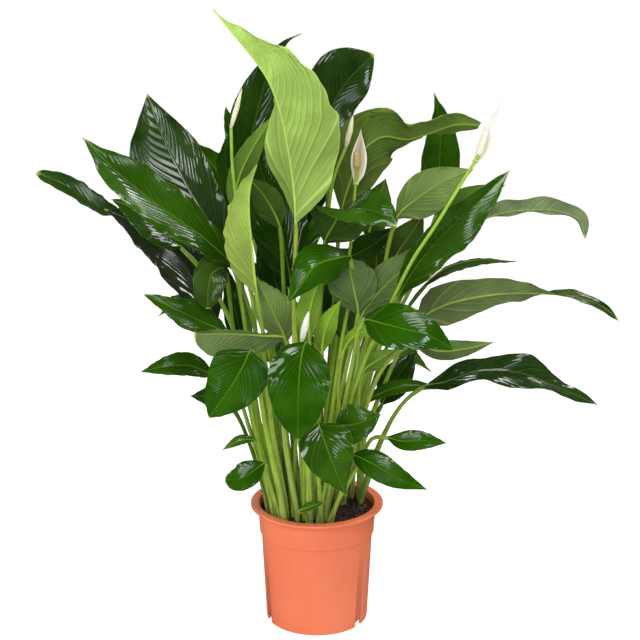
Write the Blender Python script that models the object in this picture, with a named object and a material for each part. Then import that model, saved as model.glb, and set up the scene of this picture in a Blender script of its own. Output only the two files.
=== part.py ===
"""A potted peace lily: a nursery pot, its soil, the leaves on their stalks, and five blooms.

Metres, +Z up. The origin is the centre of the pot's foot, on the surface that the pot stands on.
The plant is described as it is seen from the front: a leaf's line is a few picture points, each with
its depth, and sight_point() turns them into places. Widths, girths, roots and depths are real sizes.
"""

import math
import random
from collections import namedtuple

import bmesh
import bpy
import numpy as np
from mathutils import Matrix

MM = 0.001
TOUCHING_GAP = 0.3 * MM

# The front view: where the eye is, how far down it looks, and its focal length in picture units.
EYE = np.array([0.005, -2.10, 1.056])
EYE_PITCH = math.radians(15.07)
FOCAL_LENGTH = 1419.0
PICTURE_CENTRE = 320.0

# The pot: radii and levels from the rim down. Its floor is raised, but for a well in the middle.
POT_HEIGHT = 0.194
RIM_RADIUS = 0.105
RIM_THICKNESS = 0.0040
COLLAR_RADIUS = 0.0935
COLLAR_FOOT_RADIUS = 0.0905
COLLAR_BOTTOM = 0.1465
BODY_TOP_RADIUS = 0.0880
FOOT_RADIUS = 0.0808
WALL = 0.0024
FLOOR_HEIGHT = 0.012
FOOT_WALL = 0.0030
WELL_RADIUS = 0.0450
WELL_DRAFT = 0.0020
POT_SIDES = 36
NOTCH_ANGLES = (-158.0, -36.0, 86.0)
NOTCH_WIDTH = 0.015
NOTCH_HEIGHT = 0.0095
NOTCH_DEPTH = 0.012
POT_ROUNDING = 0.001

SOIL_TOP = 0.1820
SOIL_GAP = 0.0006
SOIL_WALL_GAP = 0.0012
SOIL_BELOW_COLLAR = 0.004
SOIL_EDGE_DROP = 0.002
SOIL_LUMP = 0.0025
SOIL_SIDES = 24
SOIL_RING_RADII = (0.074, 0.045)
HOLE_DEPTH = 0.022
HOLE_SIDES = 6

# Leaves: blade and stalk sizes that all of them share.
BLADE = 0.0009
RIB_AT_NECK = 0.0030
RIB_AT_TIP = 0.0007
RIB_THINNING = 0.6
STALK_STRAIGHT = 0.004
STALK_BOW = (0.30, 0.30, 0.55)
STALK_TAPER = 1.15

# A blade's outline, the share of it that flattens out of the round stalk, the place where its face angle
# holds, and how its waves grow towards the margin, fade at both ends and lag on the left.
SHOULDER = 2.2
SHOULDER_FULLNESS = 0.85
TIP_CURVE = 1.8
FLATTENING = 0.12
FACE_AT = 0.4
WAVE_REACH = 1.5
WAVE_FADE = 0.6
WAVE_LAG = 0.35

# How finely leaves are divided: a blade wider than LARGE_HALF_WIDTH has more stations and columns.
STALK_STATIONS = 4
LARGE_HALF_WIDTH = 38.5
LARGE_STATIONS, LARGE_COLUMNS = 9, 5
SMALL_STATIONS, SMALL_COLUMNS = 6, 3
SMOOTH_EDGES_BELOW = math.radians(40)

# Roots: the soil left between neighbours, how far out they reach, and how a shoot's own two stand.
# The soil at the bare spot, at the front right, has no root within BARE_REACH.
ROOT_GAP = 2.2
ROOT_REACH = 79.0
SHOOT_OFFSET = 3.0
SHOOT_TURN = 0.6
BARE_SPOT = (62.0, -40.0)
BARE_REACH = 48.0
SPREAD_ROUNDS = 300

# Blooms: a thin stalk, a white spathe and a spadix, whose outline is its radius at shares of its length.
BLOOM_STALK_SPANS = 9
BLOOM_STALK_SIDES = 6
BLOOM_STALK_FOOT = 0.0036
BLOOM_STALK_TOP = 0.0022
SPATHE_FOOT = 0.0042
SPATHE_STATIONS, SPATHE_COLUMNS = 9, 5
SPATHE_WIDEST = 0.45
BUD_STATIONS, BUD_SIDES = 6, 6
BUD_FOOT = 0.14
BUD_FULLNESS = 0.7
SPADIX_RADIUS = 0.0055
SPADIX_SIDES = 8
SPADIX_OUTLINE = ((0.0, 0.55), (0.12, 0.95), (0.45, 1.0), (0.8, 0.85), (0.94, 0.5))

Leaf = namedtuple(
    "Leaf",
    "node root line half face level fold twist wave stem girth wide taper uneven",
    defaults=(0, None, 12, (0, 0), (0, 1, 0), (), 5.2, 0.42, 1.25, 0.0),
)
Bloom = namedtuple("Bloom", "node root stem spathe half fold spadix drop", defaults=(0, None, 0))

# A leaf's row: its node, its root in the soil, then its midrib from neck to tip as picture points with
# their depth in millimetres behind the pot's axis, and half its width. face is its roll: 0 shows the
# upper side to the viewer, 180 the underside. level is a roll from the upper side up instead. stem
# lists points that the stalk passes by. wave is a margin's height, number and phase of waves. fold is
# one angle, or one at the neck and one at the tip. wide is where the blade is widest, a small taper
# makes a blunt tip, and uneven moves width from its left half to its right one. Leaves that share a
# node are one young shoot, and grow together at the root.
# A bloom's stem ends at the spadix's foot. Its spathe holds the stalk, drop millimetres below that, and
# then follows its own points. A spathe with no fold is still closed, and stands on top of its stalk.
LEAVES = (
    Leaf("leaf_tall_front", (-22, -30), ((296, 222, -90), (293, 184, -104), (288, 150, -124),
         (281, 115, -148), (268, 80, -172), (245, 48, -196), (228, 28, -206), (213, 9, -204)), 78, 147,
         fold=(32, 66), twist=(-14, 12, -4, -14, -8, 0), wide=0.36, taper=1.55, wave=(2, 3, 0.0),
         stem=((303, 440, -52), (296, 360, -64), (294, 290, -76)), girth=8.5),
    Leaf("leaf_top_back", (8, 24), ((328, 185, 88), (328, 140, 102), (333, 105, 116), (349, 79, 130),
         (374, 54, 146)), 47, 10, wide=0.72, taper=0.95, uneven=-0.22, wave=(4, 3, 1.0),
         stem=((322, 330, 50), (327, 230, 72))),
    Leaf("leaf_top_left", (-50, 4), ((236, 200, 58), (248, 150, 72), (260, 100, 84), (272, 62, 84),
         (284, 43, 80), (302, 33, 74)), 43, 12, wide=0.44, taper=2.1, wave=(3, 3, 0.5),
         stem=((268, 430, 0), (253, 345, 20), (240, 270, 40))),
    Leaf("leaf_top_left", (-50, 4), ((234, 212, -24), (238, 182, -26), (252, 150, -30),
         (276, 112, -34)), 18, 190, stem=((263, 400, -4), (251, 290, -12)), girth=3.4),
    Leaf("leaf_wavy_left", (-46, 26), ((229, 205, 104), (227, 172, 110), (229, 140, 112), (226, 106, 118)),
         30, 50, wave=(6, 2, 1.5), stem=((262, 400, 46), (242, 290, 82)), girth=4.2),
    Leaf("leaf_furled", (-44, -42), ((256, 293, -104), (252, 250, -118), (249, 215, -128), (250, 188, -134),
         (257, 164, -138)), 38, 235, fold=55,
         stem=((272, 430, -68), (265, 360, -82), (262, 325, -92)), girth=6.0),
    Leaf("leaf_olive_left", (-28, -8), ((280, 228, -34), (270, 205, -46), (258, 188, -58), (247, 178, -68)),
         22, 185, stem=((290, 400, -22), (283, 277, -26))),
    Leaf("leaf_dark_middle", (-14, 6), ((291, 286, 10), (285, 250, 14), (273, 205, 20), (262, 170, 26),
         (256, 132, 30)), 44, 5, stem=((296, 400, 4), (294, 340, 8))),
    Leaf("leaf_striped_left", (-58, -12), ((231, 264, -10), (208, 220, 6), (188, 187, 24), (162, 134, 52),
         (147, 93, 74)), 61, -12, wide=0.58, uneven=-0.2, wave=(3, 3, 0.8),
         stem=((276, 430, -30), (259, 345, -26), (243, 290, -18)), girth=6.0),
    Leaf("leaf_left_upper", (-66, -32), ((235, 271, -74), (206, 240, -92), (173, 216, -106),
         (137, 189, -116), (112, 168, -118), (82, 137, -110)), 43, 38, fold=14, wide=0.6, uneven=-0.06,
         wave=(3, 3, 2.0), stem=((260, 430, -56), (248, 345, -60), (240, 295, -66)), girth=6.0),
    Leaf("leaf_far_left", (-70, 10), ((163, 236, 120), (129, 220, 112), (99, 208, 100), (69, 188, 88),
         (36, 173, 80)), 31, 52, twist=(60, 40, 10, 0, -10), taper=0.5,
         stem=((250, 400, 40), (215, 290, 90))),
    Leaf("leaf_left_lower", (-74, -16), ((181, 248, -38), (155, 226, -42), (130, 208, -42),
         (111, 199, -38)), 34, 35, stem=((253, 420, -26), (236, 336, -32), (204, 273, -36))),
    Leaf("leaf_left_lower", (-74, -16), ((227, 277, -84), (222, 268, -94), (212, 274, -106),
         (208, 290, -112), (208, 309, -112)), 26, 0, taper=0.6,
         stem=((256, 430, -34), (236, 345, -52), (230, 300, -72)), girth=3.4),
    Leaf("leaf_purple_left", (-60, 6), ((217, 322, 10), (196, 285, 18), (172, 250, 30), (140, 226, 42),
         (104, 209, 52)), 53, 32, fold=10, wide=0.5, uneven=0.08, wave=(3, 3, 0.3),
         stem=((256, 430, 14), (238, 365, 10))),
    Leaf("leaf_left_pointed", (-72, -46), ((228, 335, -92), (200, 321, -100), (172, 308, -104),
         (143, 294, -98)), 25, 30, wave=(4, 2, 0.4), stem=((254, 420, -74), (243, 360, -84)), girth=4.2),
    Leaf("leaf_left_pointed", (-72, -46), ((254, 441, -62), (242, 440, -66), (222, 450, -66)), 9, 30,
         stem=((262, 462, -58),), girth=2.8),
    Leaf("leaf_level_left", (-30, -54), ((284, 339, -130), (262, 336, -142), (230, 334, -150),
         (194, 334, -152)), 35, 220, fold=40, wide=0.7, taper=0.5,
         stem=((284, 430, -84), (289, 365, -112))),
    Leaf("leaf_left_low", (-78, -28), ((214, 376, -66), (190, 366, -78), (165, 367, -86), (140, 372, -82)),
         22, 35, stem=((250, 430, -46), (232, 385, -58)), girth=4.0),
    Leaf("leaf_left_low", (-78, -28), ((232, 408, -50), (215, 398, -54), (190, 396, -50)), 20, 30,
         stem=((250, 445, -42),), girth=3.2),
    Leaf("leaf_heart_left", (-50, -60), ((250, 351, -176), (244, 364, -190), (232, 385, -198),
         (219, 403, -200), (209, 418, -194)), 43, 0, fold=8, wide=0.28, taper=0.95,
         stem=((266, 430, -104), (259, 385, -138), (254, 352, -162))),
    Leaf("leaf_heart_middle", (-8, -66), ((306, 343, -190), (302, 354, -208), (299, 378, -222),
         (298, 408, -226), (298, 441, -216)), 44, 0, fold=8, wide=0.38, taper=0.9,
         stem=((308, 440, -118), (311, 385, -156), (309, 350, -178))),
    Leaf("leaf_heart_middle", (-8, -66), ((300, 511, -90), (310, 507, -96),
         (325, 502, -98)), 9, -40, girth=2.4),
    Leaf("leaf_grey_middle", (12, -16), ((358, 314, -66), (354, 290, -76), (350, 268, -74), (351, 259, -58),
         (354, 264, -34)), 36, 180, fold=8, stem=((333, 430, -44), (348, 360, -54))),
    Leaf("leaf_grey_middle", (12, -16), ((350, 258, -84), (333, 259, -120), (315, 266, -146),
         (301, 285, -160), (287, 303, -162)), 34, 10, fold=-25,
         stem=((330, 430, -48), (342, 340, -52), (352, 285, -60))),
    Leaf("leaf_yellow_green", (-4, -44), ((309, 342, -112), (309, 318, -118), (314, 295, -120),
         (325, 266, -114)), 20, 200, fold=25, stem=((307, 440, -70), (309, 380, -96))),
    Leaf("leaf_yellow_green", (-4, -44), ((322, 352, -84), (324, 335, -88), (331, 317, -90),
         (341, 300, -86)), 16, 185, stem=((318, 440, -60), (321, 385, -74)), girth=3.6),
    Leaf("leaf_upright_left", (-32, -34), ((286, 342, -50), (276, 318, -56), (266, 298, -62),
         (256, 277, -66)), 32, 165, fold=20, stem=((286, 430, -44),)),
    Leaf("leaf_upright_left", (-32, -34), ((300, 346, -36), (297, 320, -40), (292, 302, -40),
         (288, 287, -38)), 12, 180, stem=((296, 430, -36),), girth=3.2),
    Leaf("leaf_arching_middle", (-4, -24), ((325, 243, -34), (333, 226, -46), (342, 212, -64),
         (358, 209, -86), (379, 213, -102), (397, 226, -112)), 48, -70,
         twist=(-110, -80, -20, 10, 20), wide=0.32, taper=0.8,
         stem=((314, 430, -28), (317, 320, -30))),
    Leaf("leaf_big_right", (6, 10), ((342, 211, 24), (351, 180, 18), (361, 154, 10), (382, 137, 2),
         (408, 139, -4), (430, 133, -6), (455, 125, -2), (487, 126, 6)), 48, 185, wide=0.42, taper=1.0,
         twist=(0, 0, 1, 5, 15, 34, 56, 66, 50, 25, 10), wave=(3, 3, 0.0),
         stem=((330, 400, 16), (334, 300, 22)), girth=6.0),
    Leaf("leaf_right_upright", (38, 52), ((436, 215, 106), (438, 185, 104), (440, 150, 98), (439, 120, 88),
         (434, 92, 76)), 32, 15, twist=(0, 0, 0, 10, 50), stem=((356, 410, 78), (404, 290, 104))),
    Leaf("leaf_right_green", (24, 24), ((397, 218, -52), (418, 198, -68), (448, 180, -80), (474, 169, -86)),
         33, 170, stem=((345, 420, -16), (378, 300, -34))),
    Leaf("leaf_right_light", (44, 34), ((437, 236, 6), (455, 208, -2), (478, 195, -6), (506, 185, -4)),
         22, 175, stem=((356, 400, 22), (410, 290, 14)), girth=4.2),
    Leaf("leaf_right_glossy", (22, 4), ((397, 297, -88), (407, 280, -94), (426, 253, -104),
         (449, 228, -112), (474, 205, -118), (510, 170, -114)), 40, 30, fold=30, wide=0.55,
         uneven=-0.12, wave=(4, 3, 0.6), stem=((348, 420, -48), (373, 350, -70)), girth=6.0),
    Leaf("leaf_far_right_high", (56, 44), ((430, 242, 64), (460, 228, 62), (495, 215, 58), (530, 210, 54),
         (560, 212, 48), (579, 220, 42), (585, 239, 34)), 12.5, 200, wide=0.7, taper=0.7, uneven=0.55,
         wave=(7, 4.5, 0.2), stem=((364, 400, 46), (400, 290, 60))),
    Leaf("leaf_far_right_high", (56, 44), ((425, 286, 84), (448, 268, 86), (480, 260, 86), (517, 262, 80)),
         17, 115, stem=((368, 400, 54), (395, 330, 74)), girth=3.4),
    Leaf("leaf_far_right", (62, 42), ((417, 322, -4), (443, 306, -10), (490, 295, -16), (530, 293, -20),
         (575, 297, -24), (601, 306, -22), (619, 321, -14)), 32, 190, fold=8, wide=0.12, taper=0.8,
         twist=(0, 0, 0, 16, 36, 50, 64, 98, 122, 134, 138), wave=(3, 3, 0.9),
         stem=((363, 442, 12), (376, 405, 6), (400, 350, 0)), girth=5.4),
    Leaf("leaf_far_right", (62, 42), ((366, 404, -8), (386, 391, -12), (412, 386, -18), (443, 389, -24)),
         13, -30, stem=((360, 450, 0),), girth=3.4),
    Leaf("leaf_bright_right", (14, -46), ((364, 321, -148), (384, 324, -166), (404, 329, -178),
         (430, 336, -186), (455, 351, -180)), 34, -15, fold=10, wide=0.38,
         stem=((340, 430, -94), (352, 365, -124))),
    Leaf("leaf_bright_right", (14, -46), ((343, 352, -118), (352, 338, -128), (366, 331, -134),
         (378, 333, -138), (389, 343, -136)), 10, 200, stem=((338, 430, -84), (339, 375, -108)), girth=3.2),
    Leaf("leaf_right_pale", (38, 14), ((412, 345, -104), (440, 351, -112), (465, 349, -114),
         (495, 342, -108)), 16, 200, stem=((362, 420, -62), (385, 365, -84)), girth=4.2),
    Leaf("leaf_right_pale", (38, 14), ((363, 372, -84), (378, 360, -88), (397, 349, -86)), 14, 190,
         stem=((357, 430, -62),), girth=3.2),
    Leaf("leaf_wavy_right", (70, 22), ((424, 387, -46), (445, 382, -54), (480, 371, -64), (520, 373, -72),
         (560, 388, -72), (598, 405, -64)), 28, -35, wide=0.5, wave=(9, 2.5, 2.5),
         stem=((367, 480, 12), (380, 443, -8), (395, 414, -28), (407, 399, -38)), girth=6.0),
    Leaf("leaf_low_right", (16, -62), ((352, 456, -128), (371, 463, -142), (393, 476, -154),
         (428, 490, -150)), 22, -15, wide=0.34, stem=((346, 478, -104),), girth=3.6),
    Leaf("leaf_low_right", (16, -62), ((388, 438, -92), (402, 441, -98), (424, 441, -102),
         (447, 443, -98)), 17, -20, stem=((359, 464, -74), (373, 438, -86)), girth=3.0),
    Leaf("leaf_hanging_low", (4, -66), ((318, 424, -156), (324, 440, -174), (333, 464, -180),
         (346, 496, -170)), 40, -5, wide=0.28, taper=1.5,
         stem=((318, 470, -106), (316, 436, -140)), girth=4.0),
    Leaf("leaf_hanging_low", (4, -66), ((336, 426, -138), (350, 425, -152), (365, 421, -158),
         (381, 414, -154)), 30, -10, stem=((328, 470, -98), (331, 440, -124)), girth=3.6),
    Leaf("leaf_small_left", (-58, -52), ((264, 464, -106), (252, 472, -114), (240, 479, -118),
         (225, 480, -114)), 22, 20, wide=0.5, taper=0.6, stem=((268, 478, -92),), girth=3.2),
    Leaf("leaf_grey_right", (18, -28), ((361, 318, -60), (372, 300, -62), (388, 283, -64), (410, 263, -64),
         (430, 237, -60)), 31, 175, fold=15, stem=((345, 430, -60), (357, 365, -72))),
    Leaf("leaf_dark_glossy", (12, 4), ((345, 262, 22), (360, 252, 18), (378, 242, 12), (397, 226, 8)),
         22, -20, stem=((334, 400, 2), (340, 310, 14))),
    Leaf("leaf_dark_glossy", (12, 4), ((348, 345, -10), (346, 320, -14), (347, 300, -16), (352, 280, -16)),
         24, 180, stem=((338, 420, -6),), girth=4.0),
    Leaf("leaf_olive_right", (30, 36), ((385, 276, 36), (398, 252, 32), (412, 232, 26), (424, 212, 20)),
         29, 170, stem=((345, 400, 28), (366, 320, 34))),
    Leaf("leaf_olive_top", (18, 24), ((368, 238, 30), (373, 216, 26), (379, 198, 22),
         (386, 178, 18)), 27, 175, stem=((338, 400, 14), (352, 300, 26)), girth=4.2),
    Leaf("leaf_dark_right", (50, 62), ((382, 404, 44), (394, 382, 46), (406, 365, 46), (418, 350, 44)),
         26, 0, stem=((362, 445, 54),), girth=4.2),
    Leaf("leaf_inner_left", (-38, 16), ((285, 318, 44), (276, 284, 50), (268, 254, 54),
         (259, 222, 56)), 28, 10, stem=((276, 430, 24), (282, 350, 36)), girth=4.2),
    Leaf("leaf_inner_left", (-38, 16), ((246, 362, 26), (239, 330, 30), (232, 298, 34),
         (226, 264, 36)), 22, 20, stem=((262, 430, 20),), girth=3.4),
    Leaf("leaf_inner_right", (28, 48), ((376, 300, 60), (376, 272, 62), (378, 248, 62),
         (384, 222, 60)), 26, 170, stem=((346, 420, 50), (364, 340, 56)), girth=4.2),
    Leaf("leaf_inner_right", (28, 48), ((332, 346, 40), (331, 318, 44), (328, 290, 46),
         (322, 258, 46)), 24, 10, stem=((332, 430, 44),), girth=3.4),
    Leaf("leaf_back_high", (-10, 36), ((306, 225, 80), (312, 170, 120), (318, 142, 160), (322, 122, 215)),
         42, 0, twist=(0, 0, 15), uneven=-0.15, wave=(4, 3, 0.2), stem=((304, 380, 56), (304, 290, 66))),
    Leaf("leaf_back_high", (-10, 36), ((300, 262, 120), (296, 222, 175), (289, 214, 235), (280, 240, 292)),
         46, level=12, fold=12, wave=(4, 3, 0.6), stem=((304, 400, 74), (303, 330, 92))),
    Leaf("leaf_back_left", (-36, 38), ((254, 240, 116), (238, 196, 146), (216, 170, 180), (194, 142, 220)),
         44, 10, wave=(3, 3, 0.4), stem=((279, 400, 72), (268, 310, 94))),
    Leaf("leaf_back_left", (-36, 38), ((262, 300, 120), (236, 256, 180), (212, 244, 232), (184, 262, 280)),
         42, level=28, fold=10, wave=(4, 2, 0.1), stem=((280, 420, 76), (272, 350, 98))),
    Leaf("leaf_back_middle", (14, 50), ((335, 300, 130), (345, 256, 200), (356, 252, 268), (366, 290, 330)),
         50, level=-8, fold=8, wide=0.36, wave=(5, 3, 0.9), stem=((326, 420, 86), (330, 350, 106))),
    Leaf("leaf_back_middle", (14, 50), ((375, 330, 120), (394, 286, 168), (416, 264, 214), (446, 262, 252)),
         38, level=-30, fold=14, wave=(3, 3, 0.3), stem=((340, 430, 82), (356, 370, 100))),
    Leaf("leaf_back_low_left", (-48, 56), ((250, 330, 110), (218, 306, 160), (190, 300, 206),
         (158, 316, 246)), 38, level=24, fold=10, wave=(3, 3, 0.5), stem=((272, 430, 80), (262, 370, 96))),
    Leaf("leaf_back_low_left", (-48, 56), ((282, 370, 120), (266, 342, 180), (256, 340, 232),
         (248, 372, 282)), 36, level=-5, wide=0.34, wave=(4, 2, 0.2),
         stem=((286, 440, 92), (286, 400, 106))),
    Leaf("leaf_back_low", (36, 64), ((318, 350, 120), (316, 322, 176), (314, 326, 224), (310, 366, 268)),
         38, level=6, fold=8, wide=0.34, wave=(4, 3, 0.7), stem=((330, 430, 92), (322, 385, 108))),
    Leaf("leaf_back_low", (36, 64), ((352, 385, 120), (374, 360, 168), (400, 354, 212), (432, 372, 246)),
         34, level=-22, fold=10, wave=(3, 2, 0.0), stem=((344, 440, 92), (348, 410, 106))),
)

BLOOMS = (
    Bloom("bloom_open", (4, -8), ((324, 430, -4), (338, 330, 0), (350, 250, -4), (354, 205, -8),
         (355, 191, -11), (357, 168, -14)), ((358, 174, -4), (359, 158, -2), (361, 128, -10)), 13, 25,
         (356, 151, -17), 26),
    Bloom("bloom_white_right", (22, -42), ((344, 428, -80), (350, 402, -92), (364, 362, -106),
         (376, 335, -114), (393, 299, -128), (412, 261, -156), (437, 223, -170), (456, 192, -172),
         (479, 155, -168)), ((483, 153, -157), (492, 130, -156), (503, 96, -162)), 21, 25,
         (487, 130, -172), 11),
    Bloom("bloom_slim_left", (-38, -22), ((284, 430, -26), (267, 345, -30), (250, 290, -36),
         (234, 182, -50), (232, 159, -50), (231, 128, -50)), ((237, 106, -50), (242, 88, -50)), 3.8),
    Bloom("bloom_slim_right", (-4, 20), ((316, 430, 12), (321, 300, 4), (328, 215, -8), (334, 178, -16),
          (346, 147, -22)), ((350, 130, -24), (353, 115, -24)), 4.2),
    Bloom("bloom_bud", (-20, -54), ((304, 430, -90), (303, 380, -122), (302, 341, -140)),
          ((305, 326, -141), (309, 311, -142)), 5),
)


def sight_point(point):
    """The place seen at picture point (x, y), at the given depth in millimetres behind the pot's axis."""
    across = (point[0] - PICTURE_CENTRE) / FOCAL_LENGTH
    up = (PICTURE_CENTRE - point[1]) / FOCAL_LENGTH
    sight = np.array([
        across,
        math.cos(EYE_PITCH) + up * math.sin(EYE_PITCH),
        up * math.cos(EYE_PITCH) - math.sin(EYE_PITCH),
    ])
    return EYE + sight * (point[2] * MM - EYE[1]) / sight[1]


def smooth_curve(points, per_span=12):
    """Points along a centripetal Catmull-Rom curve through the given points."""
    points = np.asarray(points, float)
    steps = np.diff(points, axis=0)
    spans = np.linalg.norm(steps, axis=1, keepdims=True) ** 0.5
    slopes = steps / spans
    inner = (slopes[:-1] * spans[1:] + slopes[1:] * spans[:-1]) / (spans[:-1] + spans[1:])
    tangents = np.vstack([slopes[:1], inner, slopes[-1:]])
    curve = []
    for i, span in enumerate(spans):
        for u in np.linspace(0.0, 1.0, per_span, endpoint=False):
            curve.append(
                points[i] * (1 + 2 * u) * (1 - u) ** 2
                + points[i + 1] * u * u * (3 - 2 * u)
                + tangents[i] * span * u * (1 - u) ** 2
                + tangents[i + 1] * span * u * u * (u - 1)
            )
    curve.append(points[-1])
    return np.array(curve)


def at_fractions(curve, fractions):
    """Points and unit tangents at fractions of a curve's length."""
    lengths = np.concatenate([[0.0], np.cumsum(np.linalg.norm(np.diff(curve, axis=0), axis=1))])
    wanted = np.asarray(fractions) * lengths[-1]
    slopes = np.gradient(curve, lengths, axis=0)
    points = np.column_stack([np.interp(wanted, lengths, curve[:, k]) for k in range(3)])
    tangents = np.column_stack([np.interp(wanted, lengths, slopes[:, k]) for k in range(3)])
    return points, tangents / np.linalg.norm(tangents, axis=1, keepdims=True)


def unit(vector):
    return vector / np.linalg.norm(vector)


def turned(vector, axis, angle):
    """A vector at right angles to the unit axis, turned about it."""
    return vector * math.cos(angle) + np.cross(axis, vector) * math.sin(angle)


def sideways(points, tangents, start, face, level=None):
    """Unit vectors across the line that turn as little as they can along it.

    At station start, a face angle of 0 turns the upper side to the viewer, and 180 the underside.
    A level angle is a roll from the upper side up.
    """
    upper_side = EYE - points[start] if level is None else np.array([0.0, 0.0, 1.0])
    roll = face if level is None else level
    across = turned(unit(np.cross(tangents[start], upper_side)), tangents[start], math.radians(roll))
    sides = [None] * len(points)
    sides[start] = across
    for order in (range(start + 1, len(points)), range(start - 1, -1, -1)):
        carried = across
        for i in order:
            carried = unit(carried - tangents[i] * carried.dot(tangents[i]))
            sides[i] = carried
    return np.array(sides)


def blade_width(t, wide, taper):
    """The blade's half width at t, from 0 at the neck to 1 at the tip, as a share of the widest."""
    if t <= 0:
        return 0.0
    if t < wide:
        return (1 - (1 - t / wide) ** SHOULDER) ** SHOULDER_FULLNESS
    return (1 - ((t - wide) / (1 - wide)) ** TIP_CURVE) ** taper


def stalk_line(root, stem, neck_on):
    """A stalk's guide points: straight out of its hole, then by way of stem to the points neck_on."""
    foot = np.array([root[0] * MM, root[1] * MM, SOIL_TOP - HOLE_DEPTH + TOUCHING_GAP])
    top = foot + [0.0, 0.0, HOLE_DEPTH + STALK_STRAIGHT]
    on = [sight_point(point) for point in neck_on]
    if stem:
        by_way = [sight_point(point) for point in stem]
    else:
        by_way = [top + (on[0] - top) * STALK_BOW]
    return foot, np.array([top, *by_way]), np.array(on)


def leaf_stations(leaf, blade_fractions, stalk_stations):
    """Where a leaf's sections stand: points, tangents, sides, t (below 0 on the stalk) and the tip."""
    foot, stalk, blade = stalk_line(leaf.root, leaf.stem, leaf.line)
    curve = smooth_curve(np.vstack([foot, stalk, blade]))
    per_span = (len(curve) - 1) // (len(stalk) + len(blade))
    top_index = per_span
    neck_index = per_span * (len(stalk) + 1)
    stalk_points, stalk_tangents = at_fractions(
        curve[top_index:neck_index + 1], np.linspace(0, 1, stalk_stations, endpoint=False)
    )
    blade_points, blade_tangents = at_fractions(curve[neck_index:], blade_fractions)
    points = np.vstack([foot, stalk_points, blade_points])
    tangents = np.vstack([[0.0, 0.0, 1.0], stalk_tangents, blade_tangents])
    stalk_t = np.linspace(-1, 0, stalk_stations, endpoint=False)
    t = np.concatenate([[-1.0], stalk_t, blade_fractions])
    middle = int(np.argmin(np.abs(t - FACE_AT)))
    sides = sideways(points, tangents, middle, leaf.face, leaf.level)
    twist = np.interp(t, np.linspace(0, 1, len(leaf.twist)), leaf.twist)
    sides = np.array([
        turned(side, tangent, math.radians(angle))
        for side, tangent, angle in zip(sides, tangents, twist)
    ])
    return points, tangents, sides, t, curve[-1]


def smooth_step(x):
    x = min(max(x, 0.0), 1.0)
    return x * x * (3 - 2 * x)


def leaf_section(leaf, t, columns):
    """One section, as (across, up) pairs: the upper face from left to right, then the lower one back."""
    quills = np.linspace(-1, 1, columns)
    half = leaf.half * MM * blade_width(t, leaf.wide, leaf.taper)
    fold = math.radians(np.interp(t, (0, 1), np.broadcast_to(leaf.fold, 2)))
    height, count, phase = leaf.wave
    ripple = height * MM * max(math.sin(math.pi * min(max(t, 0.0), 1.0)), 0.0) ** WAVE_FADE
    middle = []
    for q in quills:
        shift = phase + (WAVE_LAG if q < 0 else 0.0)
        wave = ripple * abs(q) ** WAVE_REACH * math.sin(math.tau * (count * t + shift))
        reach = half * q * (1 + leaf.uneven * np.sign(q))
        middle.append((reach * math.cos(fold), abs(reach) * math.sin(fold) + wave))
    middle = np.array(middle)
    slopes = np.gradient(middle, axis=0)
    slopes[:, 0] = np.maximum(slopes[:, 0], 1e-9)
    normals = np.column_stack([-slopes[:, 1], slopes[:, 0]])
    normals /= np.linalg.norm(normals, axis=1, keepdims=True)
    if t <= 0:
        radius = leaf.girth * MM + (RIB_AT_NECK - leaf.girth * MM) * smooth_step(STALK_TAPER * (t + 1))
    else:
        radius = RIB_AT_NECK + (RIB_AT_TIP - RIB_AT_NECK) * t ** RIB_THINNING
    flat = smooth_step(t / FLATTENING)
    rib = np.where(np.abs(quills) < 0.01, radius, 0.0)
    upper = middle + normals * BLADE / 2
    lower = middle - normals * (BLADE / 2 + rib)[:, None]
    rows = np.vstack([upper, lower[::-1]])
    rounded = round_section(radius, len(rows)) + np.vstack([middle, middle[::-1]])
    return rounded * (1 - flat) + rows * flat


def round_section(radius, count):
    """A round section of count points, in the order of leaf_section's."""
    angles = math.pi - (np.arange(count) + 0.5) * math.tau / count
    return radius * np.column_stack([np.cos(angles), np.sin(angles)])


def loft_faces(stations, columns):
    """Triangles between sections: the upper face and the lower one are split alike."""
    ring = 2 * columns
    faces = []
    for station in range(stations - 1):
        for k in range(ring):
            a = station * ring + k
            b = station * ring + (k + 1) % ring
            c, d = b + ring, a + ring
            upper = k < columns - 1
            cell = k if upper else ring - 2 - k
            left = cell < (columns - 1) / 2
            if upper == left:
                faces += [(a, b, d), (b, c, d)]
            else:
                faces += [(a, b, c), (a, c, d)]
    return faces


def loft_mesh(name, sections, tip=None):
    """A closed body through its sections, with a flat foot, and a flat top or a point."""
    rings, ring = len(sections), len(sections[0])
    points = [tuple(point) for section in sections for point in section]
    faces = loft_faces(rings, ring // 2)
    faces.append(tuple(range(ring - 1, -1, -1)))
    last = (rings - 1) * ring
    if tip is None:
        faces.append(tuple(range(last, last + ring)))
    else:
        points.append(tuple(tip))
        faces += [(last + k, last + (k + 1) % ring, len(points) - 1) for k in range(ring)]
    return mesh_of(name, points, faces)


def mesh_of(name, points, faces):
    mesh = bpy.data.meshes.new(name)
    mesh.from_pydata(points, [], faces)
    shape = bmesh.new()
    shape.from_mesh(mesh)
    bmesh.ops.recalc_face_normals(shape, faces=shape.faces)
    shape.to_mesh(mesh)
    shape.free()
    return mesh


def add_object(name, mesh, material):
    mesh.materials.clear()
    mesh.materials.append(material)
    mesh.shade_smooth()
    mesh.set_sharp_from_angle(angle=SMOOTH_EDGES_BELOW)
    part = bpy.data.objects.new(name, mesh)
    bpy.context.scene.collection.objects.link(part)
    return part


def plain_material(name, colour, roughness):
    material = bpy.data.materials.new(name)
    material.use_nodes = True
    shader = material.node_tree.nodes["Principled BSDF"]
    shader.inputs["Base Color"].default_value = (*colour, 1.0)
    shader.inputs["Roughness"].default_value = roughness
    shader.inputs["Metallic"].default_value = 0.0
    return material


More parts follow.
